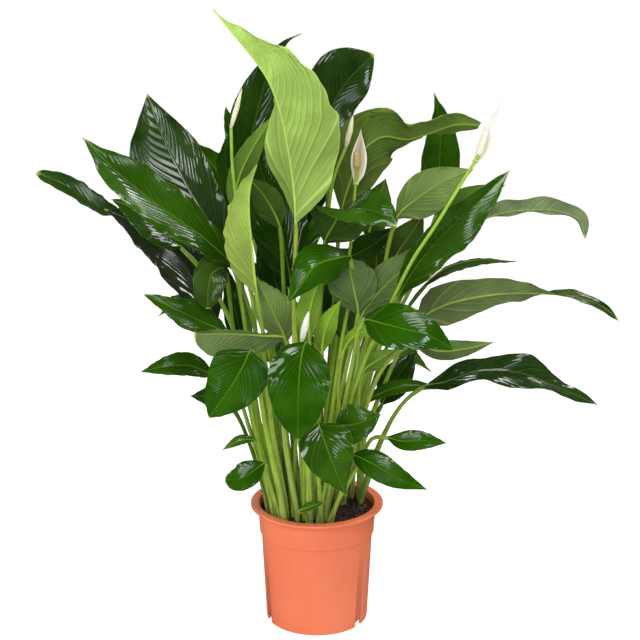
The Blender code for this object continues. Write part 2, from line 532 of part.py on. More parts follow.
def placed(section, point, tangent, side):
    """A section's (across, up) pairs as places."""
    up = np.cross(side, tangent)
    return [point + side * across + up * height for across, height in section]


def leaf_mesh(leaf):
    large = leaf.half > LARGE_HALF_WIDTH
    count, columns = (LARGE_STATIONS, LARGE_COLUMNS) if large else (SMALL_STATIONS, SMALL_COLUMNS)
    spread = np.linspace(0, 1, count, endpoint=False)
    points, tangents, sides, t, tip = leaf_stations(leaf, spread, STALK_STATIONS)
    sections = [
        placed(leaf_section(leaf, t[i], columns), points[i], tangents[i], sides[i])
        for i in range(len(t))
    ]
    return loft_mesh(leaf.node, sections, tip)


def add_shoot(node, leaves, material):
    """A leaf, or the leaves of one shoot joined by a Boolean union."""
    part = add_object(node, leaf_mesh(leaves[0]), material)
    for leaf in leaves[1:]:
        other = bpy.data.objects.new("joined", leaf_mesh(leaf))
        bpy.context.scene.collection.objects.link(other)
        modifier = part.modifiers.new("join", "BOOLEAN")
        modifier.operation = "UNION"
        modifier.solver = "MANIFOLD"
        modifier.object = other
        graph = bpy.context.evaluated_depsgraph_get()
        part.data = bpy.data.meshes.new_from_object(part.evaluated_get(graph))
        part.modifiers.clear()
        bpy.data.objects.remove(other)
    return part


def tube_sections(points, tangents, radii, sides_count, start=0):
    """Round sections of the given radii along a line."""
    sides = sideways(points, tangents, start, 0.0)
    angles = np.arange(sides_count) * math.tau / sides_count
    return [
        placed(radius * np.column_stack([np.cos(-angles), np.sin(-angles)]), point, tangent, side)
        for radius, point, tangent, side in zip(radii, points, tangents, sides)
    ]


def bloom_stalk_line(bloom):
    """A bloom stalk's points and tangents, from its foot in the soil to its top."""
    foot, stalk, top = stalk_line(bloom.root, bloom.stem[:-1], bloom.stem[-1:])
    curve = smooth_curve(np.vstack([foot, stalk, top]))
    per_span = (len(curve) - 1) // (len(stalk) + 1)
    points, tangents = at_fractions(curve[per_span:], np.linspace(0, 1, BLOOM_STALK_SPANS))
    return np.vstack([foot, points]), np.vstack([[0.0, 0.0, 1.0], tangents])


def bloom_stalk_mesh(bloom, allowance=0.0):
    points, tangents = bloom_stalk_line(bloom)
    above = np.linspace(BLOOM_STALK_FOOT, BLOOM_STALK_TOP, BLOOM_STALK_SPANS)
    radii = np.append(BLOOM_STALK_FOOT, above) + allowance
    return loft_mesh(bloom.node + "_stalk", tube_sections(points, tangents, radii, BLOOM_STALK_SIDES))


def closed_spathe_mesh(bloom):
    """A spathe that is still rolled up, on top of its stalk."""
    stalk_points, stalk_tangents = bloom_stalk_line(bloom)
    base = stalk_points[-1] + stalk_tangents[-1] * TOUCHING_GAP
    curve = smooth_curve([base, *(sight_point(point) for point in bloom.spathe)])
    fractions = np.linspace(0, 1, BUD_STATIONS, endpoint=False)
    points, tangents = at_fractions(curve, fractions)
    tangents[0] = stalk_tangents[-1]
    swelling = np.sin(math.pi * (BUD_FOOT + (1 - BUD_FOOT) * fractions)) ** BUD_FULLNESS
    sections = tube_sections(points, tangents, bloom.half * MM * swelling, BUD_SIDES)
    return loft_mesh(bloom.node + "_spathe", sections, curve[-1])


def open_spathe_mesh(bloom):
    """A spathe whose foot is wrapped round the stalk, and whose blade stands behind the spadix."""
    stalk_points, stalk_tangents = bloom_stalk_line(bloom)
    base = stalk_points[-1] - stalk_tangents[-1] * bloom.drop * MM
    curve = smooth_curve([base, *(sight_point(point) for point in bloom.spathe)])
    sheet = Leaf(bloom.node, (0, 0), (), bloom.half, fold=bloom.fold, wide=SPATHE_WIDEST)
    fractions = np.linspace(0, 1, SPATHE_STATIONS, endpoint=False)
    points, tangents = at_fractions(curve, fractions)
    sides = sideways(points, tangents, SPATHE_STATIONS // 2, 0.0)
    outlines = [leaf_section(sheet, fraction, SPATHE_COLUMNS) for fraction in fractions]
    outlines[0] = round_section(SPATHE_FOOT, 2 * SPATHE_COLUMNS)
    tangents[0] = stalk_tangents[-1]
    sections = [
        placed(outline, point, tangent, side)
        for outline, point, tangent, side in zip(outlines, points, tangents, sides)
    ]
    return loft_mesh(bloom.node + "_spathe", sections, curve[-1])


def spadix_mesh(bloom, allowance=0.0):
    stalk_points, stalk_tangents = bloom_stalk_line(bloom)
    foot = stalk_points[-1] + stalk_tangents[-1] * (TOUCHING_GAP - allowance)
    tip = sight_point(bloom.spadix)
    shares, girths = np.transpose(SPADIX_OUTLINE)
    points = np.array([foot + (tip - foot) * share for share in shares])
    tangents = np.array([unit(tip - foot)] * len(shares))
    tangents[0] = stalk_tangents[-1]
    sections = tube_sections(points, tangents, girths * SPADIX_RADIUS + allowance, SPADIX_SIDES)
    return loft_mesh(bloom.node + "_spadix", sections, tip)


def add_bloom(bloom, stalk_material, spathe_material, spadix_material):
    add_object(bloom.node + "_stalk", bloom_stalk_mesh(bloom), stalk_material)
    if not bloom.spadix:
        add_object(bloom.node + "_spathe", closed_spathe_mesh(bloom), spathe_material)
        return
    add_object(bloom.node + "_spadix", spadix_mesh(bloom), spadix_material)
    spathe = add_object(bloom.node + "_spathe", open_spathe_mesh(bloom), spathe_material)
    room = [bloom_stalk_mesh(bloom, TOUCHING_GAP), spadix_mesh(bloom, TOUCHING_GAP)]
    cut(spathe, [cutter_object("room", mesh) for mesh in room])


def turned_mesh(name, profile, sides_count):
    """A closed body turned about +Z. The profile runs from the axis round to the axis."""
    points = [(0.0, 0.0, profile[0][1])]
    for radius, level in profile[1:-1]:
        for k in range(sides_count):
            angle = math.tau * k / sides_count
            points.append((radius * math.cos(angle), radius * math.sin(angle), level))
    points.append((0.0, 0.0, profile[-1][1]))
    rings = len(profile) - 2
    faces = []
    for k in range(sides_count):
        after = (k + 1) % sides_count
        faces.append((0, 1 + k, 1 + after))
        last = 1 + (rings - 1) * sides_count
        faces.append((last + k, len(points) - 1, last + after))
        for i in range(rings - 1):
            low = 1 + i * sides_count
            faces.append((low + k, low + sides_count + k, low + sides_count + after, low + after))
    return mesh_of(name, points, faces)


def inner_radius(level):
    """The pot's inner wall at a level."""
    if level > COLLAR_BOTTOM:
        share = (level - COLLAR_BOTTOM) / (POT_HEIGHT - COLLAR_BOTTOM)
        return COLLAR_FOOT_RADIUS + (COLLAR_RADIUS - COLLAR_FOOT_RADIUS) * share - WALL
    share = (level - FLOOR_HEIGHT) / (COLLAR_BOTTOM - FLOOR_HEIGHT)
    return FOOT_RADIUS + (BODY_TOP_RADIUS - FOOT_RADIUS) * share - WALL


def cut(part, cutters):
    """Cuts the cutters away from a part by a Boolean on a collection, applied, and removes them."""
    group = bpy.data.collections.new(part.name + "_cutters")
    bpy.context.scene.collection.children.link(group)
    for cutter in cutters:
        group.objects.link(cutter)
    modifier = part.modifiers.new("cut", "BOOLEAN")
    modifier.operation = "DIFFERENCE"
    modifier.operand_type = "COLLECTION"
    modifier.collection = group
    modifier.solver = "EXACT"
    graph = bpy.context.evaluated_depsgraph_get()
    mesh = bpy.data.meshes.new_from_object(part.evaluated_get(graph))
    part.modifiers.clear()
    part.data = mesh
    for cutter in cutters:
        bpy.data.objects.remove(cutter)
    bpy.data.collections.remove(group)


def cutter_object(name, mesh):
    cutter = bpy.data.objects.new(name, mesh)
    cutter.hide_render = True
    cutter.display_type = "WIRE"
    return cutter


def build_pot(material):
    lip = POT_HEIGHT - RIM_THICKNESS
    profile = [
        (0.0, 0.0),
        (WELL_RADIUS, 0.0),
        (WELL_RADIUS + WELL_DRAFT, FLOOR_HEIGHT - WALL),
        (FOOT_RADIUS - FOOT_WALL, FLOOR_HEIGHT - WALL),
        (FOOT_RADIUS - FOOT_WALL, 0.0),
        (FOOT_RADIUS, 0.0),
        (BODY_TOP_RADIUS, COLLAR_BOTTOM - POT_ROUNDING),
        (COLLAR_FOOT_RADIUS, COLLAR_BOTTOM),
        (COLLAR_RADIUS, lip),
        (RIM_RADIUS - POT_ROUNDING, lip),
        (RIM_RADIUS, lip + RIM_THICKNESS / 2),
        (RIM_RADIUS - POT_ROUNDING, POT_HEIGHT),
        (inner_radius(POT_HEIGHT), POT_HEIGHT),
        (inner_radius(COLLAR_BOTTOM + POT_ROUNDING), COLLAR_BOTTOM + POT_ROUNDING),
        (inner_radius(COLLAR_BOTTOM), COLLAR_BOTTOM),
        (inner_radius(FLOOR_HEIGHT), FLOOR_HEIGHT),
        (WELL_RADIUS + WELL_DRAFT - WALL, FLOOR_HEIGHT),
        (WELL_RADIUS - WALL, WALL),
        (0.0, WALL),
    ]
    pot = add_object("pot", turned_mesh("pot", profile, POT_SIDES), material)
    cutters = []
    for angle in NOTCH_ANGLES:
        block = bmesh.new()
        bmesh.ops.create_cube(block, size=1.0)
        bmesh.ops.scale(block, verts=block.verts, vec=(NOTCH_DEPTH, NOTCH_WIDTH, 2 * NOTCH_HEIGHT))
        bmesh.ops.translate(block, verts=block.verts, vec=(FOOT_RADIUS - FOOT_WALL / 2, 0.0, 0.0))
        turn = Matrix.Rotation(math.radians(angle), 3, "Z")
        bmesh.ops.rotate(block, verts=block.verts, cent=(0.0, 0.0, 0.0), matrix=turn)
        mesh = bpy.data.meshes.new("notch")
        block.to_mesh(mesh)
        block.free()
        cutters.append(cutter_object("notch", mesh))
    cut(pot, cutters)
    return pot


def build_soil(holes, material):
    """The soil, lumpy on top, with a plain hole for each shoot."""
    random.seed(7)
    low = FLOOR_HEIGHT + SOIL_GAP
    levels = [low, COLLAR_BOTTOM - SOIL_BELOW_COLLAR, SOIL_TOP - SOIL_EDGE_DROP]
    profile = [
        (0.0, WALL + SOIL_GAP),
        (WELL_RADIUS - WALL - SOIL_GAP, WALL + SOIL_GAP),
        (WELL_RADIUS + WELL_DRAFT - WALL - SOIL_GAP, low),
    ]
    profile += [(inner_radius(level) - SOIL_WALL_GAP, level) for level in levels]
    profile += [(radius, SOIL_TOP) for radius in (*SOIL_RING_RADII, 0.0)]
    mesh = turned_mesh("soil", profile, SOIL_SIDES)
    for vertex in mesh.vertices:
        if vertex.co.z > SOIL_TOP - SOIL_EDGE_DROP / 2:
            vertex.co.z += random.uniform(-SOIL_LUMP, SOIL_LUMP)
    soil = add_object("soil", mesh, material)
    cutters = []
    for root, girth in holes:
        radius = (girth * MM + TOUCHING_GAP) / math.cos(math.pi / HOLE_SIDES)
        hole = bmesh.new()
        bmesh.ops.create_cone(
            hole, cap_ends=True, segments=HOLE_SIDES, radius1=radius, radius2=radius, depth=2 * HOLE_DEPTH
        )
        bmesh.ops.translate(hole, verts=hole.verts, vec=(root[0] * MM, root[1] * MM, SOIL_TOP))
        shape = bpy.data.meshes.new("hole")
        hole.to_mesh(shape)
        hole.free()
        cutters.append(cutter_object("hole", shape))
    cut(soil, cutters)
    return soil


def spread_roots(shoots):
    """Each shoot's root, moved off the bare spot, until neighbours leave ROOT_GAP between their holes."""
    names = list(shoots)
    roots = np.array([shoots[name][0].root for name in names], float)
    radii = [shoot_girth(shoots[name]) for name in names]
    for _ in range(SPREAD_ROUNDS):
        for i in range(len(roots)):
            for j in range(i):
                away = roots[i] - roots[j]
                distance = np.linalg.norm(away)
                wanted = radii[i] + radii[j] + ROOT_GAP
                if distance < wanted:
                    push = away / distance * (wanted - distance) / 2
                    roots[i] += push
                    roots[j] -= push
        away = roots - BARE_SPOT
        distance = np.linalg.norm(away, axis=1, keepdims=True)
        roots = BARE_SPOT + away * np.maximum(1.0, BARE_REACH / distance)
        reach = np.linalg.norm(roots, axis=1, keepdims=True)
        roots *= np.minimum(1.0, ROOT_REACH / np.maximum(reach, 1e-9))
    placed_shoots = {}
    for name, root in zip(names, roots):
        plants = shoots[name]
        offset = SHOOT_OFFSET if len(plants) > 1 else 0.0
        placed_shoots[name] = [
            plant._replace(root=(
                root[0] + offset * math.cos(math.pi * k + SHOOT_TURN),
                root[1] + offset * math.sin(math.pi * k + SHOOT_TURN),
            ))
            for k, plant in enumerate(plants)
        ]
    return placed_shoots


def plant_girth(plant):
    """The radius of a leaf's or a bloom's stalk in the soil, in millimetres."""
    return plant.girth if isinstance(plant, Leaf) else BLOOM_STALK_FOOT / MM


def shoot_girth(plants):
    """The radius of a shoot at the soil: its thickest stalk, and the room that a second stalk needs."""
    return max(plant_girth(plant) for plant in plants) + (SHOOT_OFFSET if len(plants) > 1 else 0.0)


def main():
    for old in list(bpy.data.objects):
        bpy.data.objects.remove(old)
    build_pot(plain_material("terracotta_plastic", (0.80, 0.23, 0.10), 0.42))
    shoots = {}
    for plant in LEAVES + BLOOMS:
        shoots.setdefault(plant.node, []).append(plant)
    shoots = spread_roots(shoots)
    holes = [
        (np.mean([plant.root for plant in plants], axis=0), shoot_girth(plants)) for plants in shoots.values()
    ]
    build_soil(holes, plain_material("soil", (0.045, 0.028, 0.018), 0.95))
    green = plain_material("leaf", (0.030, 0.110, 0.012), 0.30)
    stalk = plain_material("bloom_stalk", (0.30, 0.45, 0.10), 0.45)
    white = plain_material("spathe", (0.86, 0.86, 0.80), 0.45)
    cream = plain_material("spadix", (0.80, 0.68, 0.42), 0.70)
    for node, plants in shoots.items():
        if isinstance(plants[0], Leaf):
            add_shoot(node, plants, green)
            continue
        add_bloom(plants[0], stalk, white, cream)


if __name__ == "__main__":
    main()
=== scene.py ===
"""The look of the potted peace lily: veined leaves, blooms, soil and pot, a studio floor and lights.

Metres, +Z up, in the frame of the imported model. The leaf and bloom rows and the places that follow from
them are those of the part, so each piece here is a finer form of the node that it replaces.
"""

import math
import random
from collections import namedtuple

import bmesh
import bpy
import numpy as np
from mathutils import Matrix, Vector, noise


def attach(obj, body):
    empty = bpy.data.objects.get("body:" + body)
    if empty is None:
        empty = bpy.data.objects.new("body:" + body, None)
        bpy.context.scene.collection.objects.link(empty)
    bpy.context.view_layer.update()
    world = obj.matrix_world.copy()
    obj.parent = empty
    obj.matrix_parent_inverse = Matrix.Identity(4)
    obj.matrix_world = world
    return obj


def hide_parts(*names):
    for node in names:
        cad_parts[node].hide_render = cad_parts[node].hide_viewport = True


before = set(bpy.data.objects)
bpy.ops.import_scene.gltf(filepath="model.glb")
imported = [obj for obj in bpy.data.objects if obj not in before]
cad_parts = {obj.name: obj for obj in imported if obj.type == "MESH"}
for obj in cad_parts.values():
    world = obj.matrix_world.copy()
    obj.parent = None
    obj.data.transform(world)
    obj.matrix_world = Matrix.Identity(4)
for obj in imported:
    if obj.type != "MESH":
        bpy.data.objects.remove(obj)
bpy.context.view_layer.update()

MM = 0.001
TOUCHING_GAP = 0.3 * MM

# The front view: where the eye is, how far down it looks, and its focal length in picture units.
PICTURE_SIZE = 640.0
EYE = np.array([0.005, -2.10, 1.056])
EYE_PITCH = math.radians(15.07)
FOCAL_LENGTH = 1419.0
SENSOR_WIDTH = 36.0

# The pot, as in the part: radii and levels, the well in its floor, and the notches in its foot.
POT_HEIGHT = 0.194
RIM_RADIUS = 0.105
RIM_THICKNESS = 0.0040
COLLAR_RADIUS = 0.0935
COLLAR_FOOT_RADIUS = 0.0905
COLLAR_BOTTOM = 0.1465
BODY_TOP_RADIUS = 0.0880
FOOT_RADIUS = 0.0808
WALL = 0.0024
FLOOR_HEIGHT = 0.012
FOOT_WALL = 0.0030
WELL_RADIUS = 0.0450
WELL_DRAFT = 0.0020
POT_SIDES = 160
FILLET_STEPS = 4
NOTCH_ANGLES = (-158.0, -36.0, 86.0)
NOTCH_WIDTH = 0.015
NOTCH_HEIGHT = 0.0095
NOTCH_REACH = 0.012
NOTCH_FILLET = 0.0025
COLLAR_STEP = 0.001
RIM_DRAFT = 0.0002

# The soil. Its surface has mounds, clods and grains, each with its height, and SOIL_NOISE says how many of
# them there are to a metre and where in the noise they are read.
SOIL_TOP = 0.1820
SOIL_GAP = 0.0006
HOLE_DEPTH = 0.022
SOIL_SIDES = 120
SOIL_RINGS = 34
SOIL_BEND = 0.004
SOIL_NOISE = ((28.0, 0.0), (150.0, 3.0), (420.0, 7.0))
MOUND, CLOD, GRAIN = 2.2 * MM, 3.4 * MM, 0.9 * MM

# Loose lumps on the soil: piece, material, how many, least and most size, least and most stretch. Each one
# tries up to TRIES places until it is clear of the stalks.
LUMPS = (
    ("soil_crumbs", "peat", 420, (0.0010, 0.0030), (0.9, 1.5)),
    ("soil_fibres", "bark", 130, (0.0005, 0.0011), (2.5, 7.0)),
)
LUMP_SIDES = (0.7, 1.2)
LUMP_DENTS = 0.35
LUMP_TILT = 0.5
LUMPS_OFF_WALL = 0.006
TRIES = 40

# Leaves: sizes that all of them share. A blade is flat from FLAT_FROM of its length on, and it thins from
# RIM_FROM of its half width out. A stalk with no points of its own goes by way of STALK_LEAN of the way to
# its blade. Its swelling is (height, place, width), in shares of its radius and length.
BLADE = 0.0007
RIM_FROM = 0.8
RIB_AT_NECK = 0.0030
RIB_AT_TIP = 0.0007
RIB_GROOVE = 0.0006
STALK_STRAIGHT = 0.004
STALK_LEAN = (0.30, 0.30, 0.55)
STALK_GROOVE = 0.22
GROOVE_WIDTH = 0.55
SWELLING = (0.22, -0.05, 0.04)
FLAT_FROM = 0.12
LEAF_FACES_AT = 0.4
LARGE_HALF_WIDTH = 36.0
CAMBER = 0.055

# A margin's frill: its height, and its waves as (how many along the blade, shift of a side, strength).
FRILL = 0.0013
FRILL_WAVES = ((6.3, 2.0, 1.0), (10.7, 5.0, 0.7))

# Veins: how far they swing forward, how uneven they run, and the relief between them, as a share of
# their spacing. It starts a little off the midrib and fades towards the tip and where veins bunch.
VEIN_SWING = 5.2
MOST_SWING = 0.82
UNEVEN_VEINS = 0.35
RELIEF = 0.085
RELIEF_FROM = 1.0 * MM
RELIEF_WHOLE = 6.0 * MM
TIP_SHARE = 0.3
FINEST_VEINS = 1.0 * MM
SMALL_VEIN = 0.25 * MM

# How finely pieces are made. A blade has veins, rows for each vein, and columns on either side. Those close
# to its midrib are at the shares RIB_COLUMNS of RIB_REACH, which is in millimetres. Edges are sharp past
# these degrees.
SPAN_STEPS = 24
SPINE_STEPS = 160
STALK_RINGS = 20
LARGE_BLADE = (17, 10, 11)
SMALL_BLADE = (13, 7, 8)
RIB_REACH = 2.0
RIB_COLUMNS = (0.5, 1.0, 1.8)
SHARP_EDGE = 50.0
LEAF_SHARP_EDGE = 65.0
POT_SHARP_EDGE = 38.0
SOIL_SHARP_EDGE = 60.0
SPADIX_SHARP_EDGE = 80.0

# Roots, in millimetres as in the part: the soil left between neighbours, how far out they reach, how close a
# shoot's own two are, and the bare spot of soil that they keep clear of.
ROOT_GAP = 2.2
ROOT_REACH = 79.0
SHOOT_OFFSET = 3.0
SHOOT_TURN = 0.6
BARE_SPOT = (62.0, -40.0)
BARE_REACH = 48.0
SPREAD_ROUNDS = 300

# Blooms: a thin stalk, a spathe with its roll given at SPATHE_FACES_AT, and a spadix, whose outline is
# (share along, share of its radius). FADING blooms are old, and CREAM ones are greener than the rest.
BLOOM_STALK_FOOT = 0.0036
BLOOM_STALK_TOP = 0.0022
BLOOM_STALK_RINGS, BLOOM_STALK_SIDES = 48, 16
SPATHE_FOOT = 0.0042
SPATHE_FACES_AT = 0.44
SPATHE_FRILL = 0.2
SPATHE_RIDGE = 0.25 * MM
SPATHE_ROWS, SPATHE_COLUMNS = 60, 8
BUD_LAP = 0.10
BUD_RINGS, BUD_SIDES = 36, 28
SPADIX_RADIUS = 0.0055
SPADIX_OUTLINE = ((0.0, 0.55), (0.12, 0.95), (0.45, 1.0), (0.8, 0.85), (0.94, 0.5), (1.0, 0.0))
SPADIX_RINGS, SPADIX_SIDES = 64, 40
FLORET_PITCH = 2.6 * MM
FADING = ("open",)
CREAM = ("slim_left", "slim_right")

# A plant's row names its node, without the leaf_ or bloom_ that the node's name starts with, and its root in
# millimetres from the pot's axis. The points of its line, stem and spathe are picture points with a depth in
# millimetres, and half is its half width in millimetres. A leaf's upper side is rolled from the viewer by
# face degrees, or from the sky by level, which is given at LEAF_FACES_AT. Fold and twist are degrees along
# it, and wave is the height, count and phase of its margins' waves.
Leaf = namedtuple(
    "Leaf",
    "node tone root line half face level fold twist wave stem girth wide taper uneven",
    defaults=(0, None, 12, (0, 0), (0, 1, 0), (), 5.2, 0.42, 1.25, 0.0),
)
Bloom = namedtuple("Bloom", "node root stem spathe half fold spadix drop", defaults=(0, None, 0))
Spine = namedtuple("Spine", "t points tangents sides length")

# A tone is a leaf's colours in linear light: upper side, underside, veins and stalk, then the height of its
# relief between the veins and how strongly its dullest and its glossiest patches shine.
Tone = namedtuple("Tone", "upper under vein stalk relief shine", defaults=(0.8, (0.3, 0.7)))
TONES = {
    "dark": Tone((0.011, 0.044, 0.001), (0.04, 0.09, 0.016), (0.05, 0.125, 0.008), (0.14, 0.27, 0.02), 0.75,
        (0.4, 0.8)),
    "mid": Tone((0.022, 0.086, 0.001), (0.055, 0.125, 0.018), (0.085, 0.215, 0.008), (0.38, 0.59, 0.05),
        0.6, (0.25, 0.9)),
    "vivid": Tone((0.019, 0.09, 0.0), (0.08, 0.18, 0.018), (0.07, 0.21, 0.003), (0.44, 0.66, 0.06), 0.6,
        (0.0, 0.7)),
    "striped": Tone((0.012, 0.044, 0.002), (0.07, 0.11, 0.045), (0.085, 0.135, 0.045), (0.3, 0.48, 0.05),
        0.7, (0.35, 0.9)),
    "streaked": Tone((0.026, 0.1, 0.002), (0.075, 0.14, 0.02), (0.11, 0.26, 0.012), (0.36, 0.58, 0.05), 0.8,
        (0.5, 1.0)),
    "olive": Tone((0.022, 0.06, 0.004), (0.066, 0.124, 0.018), (0.135, 0.23, 0.03), (0.24, 0.4, 0.03)),
    "twotone": Tone((0.12, 0.24, 0.014), (0.125, 0.212, 0.034), (0.22, 0.35, 0.045), (0.32, 0.5, 0.04)),
    "grey": Tone((0.018, 0.06, 0.004), (0.116, 0.182, 0.06), (0.24, 0.36, 0.07), (0.46, 0.63, 0.09)),
    "mist": Tone((0.012, 0.04, 0.004), (0.165, 0.24, 0.086), (0.28, 0.4, 0.08), (0.4, 0.56, 0.06)),
    "silver": Tone((0.02, 0.062, 0.006), (0.205, 0.275, 0.128), (0.34, 0.44, 0.15), (0.4, 0.56, 0.06)),
    "pale": Tone((0.044, 0.15, 0.005), (0.2, 0.305, 0.082), (0.32, 0.46, 0.11), (0.42, 0.6, 0.06)),
    "fresh": Tone((0.044, 0.15, 0.005), (0.13, 0.245, 0.034), (0.24, 0.41, 0.045), (0.45, 0.66, 0.06)),
    "lime": Tone((0.11, 0.28, 0.008), (0.21, 0.385, 0.034), (0.32, 0.53, 0.05), (0.5, 0.72, 0.07)),
    # The lit and backlit undersides and their veins are painted light: the glow of light shining through the
    # leaf from behind, set into their colour.
    "lit": Tone((0.045, 0.16, 0.006), (0.32, 0.46, 0.08), (0.5, 0.64, 0.15), (0.5, 0.7, 0.08)),
    "backlit": Tone((0.045, 0.16, 0.006), (0.4, 0.61, 0.125), (0.64, 0.84, 0.21), (0.58, 0.8, 0.09)),
    "satin": Tone((0.016, 0.056, 0.002), (0.075, 0.12, 0.04), (0.06, 0.14, 0.012), (0.22, 0.4, 0.03), 0.8,
        (0.0, 0.22)),
    "purple": Tone((0.018, 0.034, 0.01), (0.045, 0.08, 0.03), (0.08, 0.1, 0.065), (0.3, 0.5, 0.05), 0.8,
        (0.3, 0.8)),
}
ROUGH_UPPER = 0.28
ROUGH_UNDER = 0.50
DRY_TIP = (0.42, 0.46, 0.05)
RIB_GREEN = (0.42, 0.62, 0.05)
BLOOM_STALK_GREEN = (0.52, 0.82, 0.06)
BLACK = (0.0, 0.0, 0.0)
WHITE = (1.0, 1.0, 1.0)

# A spathe's colour, its lines and its margin, a spadix's colour in the hollows between its florets, darker
# there as painted shade, and on its florets, and an earth's dark and light clods with how many pale flecks it
# has.
SPATHES = {
    "white_spathe": ((0.84, 0.84, 0.78), (0.72, 0.74, 0.62), (0.92, 0.92, 0.89)),
    "fading_spathe": ((0.62, 0.52, 0.36), (0.48, 0.40, 0.26), (0.90, 0.88, 0.80)),
    "cream_spathe": ((0.78, 0.73, 0.52), (0.56, 0.60, 0.30), (0.62, 0.68, 0.42)),
}
SPADICES = {
    "pale_spadix": ((0.74, 0.68, 0.46), (0.90, 0.88, 0.78)),
    "cream_spadix": ((0.30, 0.19, 0.05), (0.84, 0.68, 0.30)),
}
EARTHS = {
    "peat": ((0.009, 0.0035, 0.0030), (0.046, 0.018, 0.012), 0.5),
    "bark": ((0.10, 0.055, 0.03), (0.30, 0.18, 0.09), 0.6),
}

# The floor's reach and its glow to the viewer and in glossy things, and the backdrop's light on the plant
# and in glossy things.
FLOOR_REACH = 60
FLOOR_GLOW = (1.62, 0.05)
WORLD_LIGHT = (0.24, 0.04)

# Lamps: the way that each one shines from, seen from the plant, as degrees round from the viewer's side
# to the right and degrees up, then its distance, width, height and power.
LAMP_AIM = (0.0, 0.0, 0.55)
LAMPS = (
    ("lamp_over_viewer", -10.0, 31.0, 2.3, 1.0, 0.8, 21.0),
    ("lamp_by_viewer", -5.0, -2.0, 2.3, 0.5, 0.8, 9.5),
    ("lamp_behind_right", 118.0, 42.0, 2.4, 0.9, 0.6, 28.0),
    ("lamp_behind_left", -158.0, 34.0, 2.3, 0.9, 0.6, 15.0),
    ("lamp_right_high", 46.0, 54.0, 2.3, 0.9, 0.6, 23.0),
    ("lamp_left", -74.0, 12.0, 2.3, 0.5, 1.2, 17.0),
)

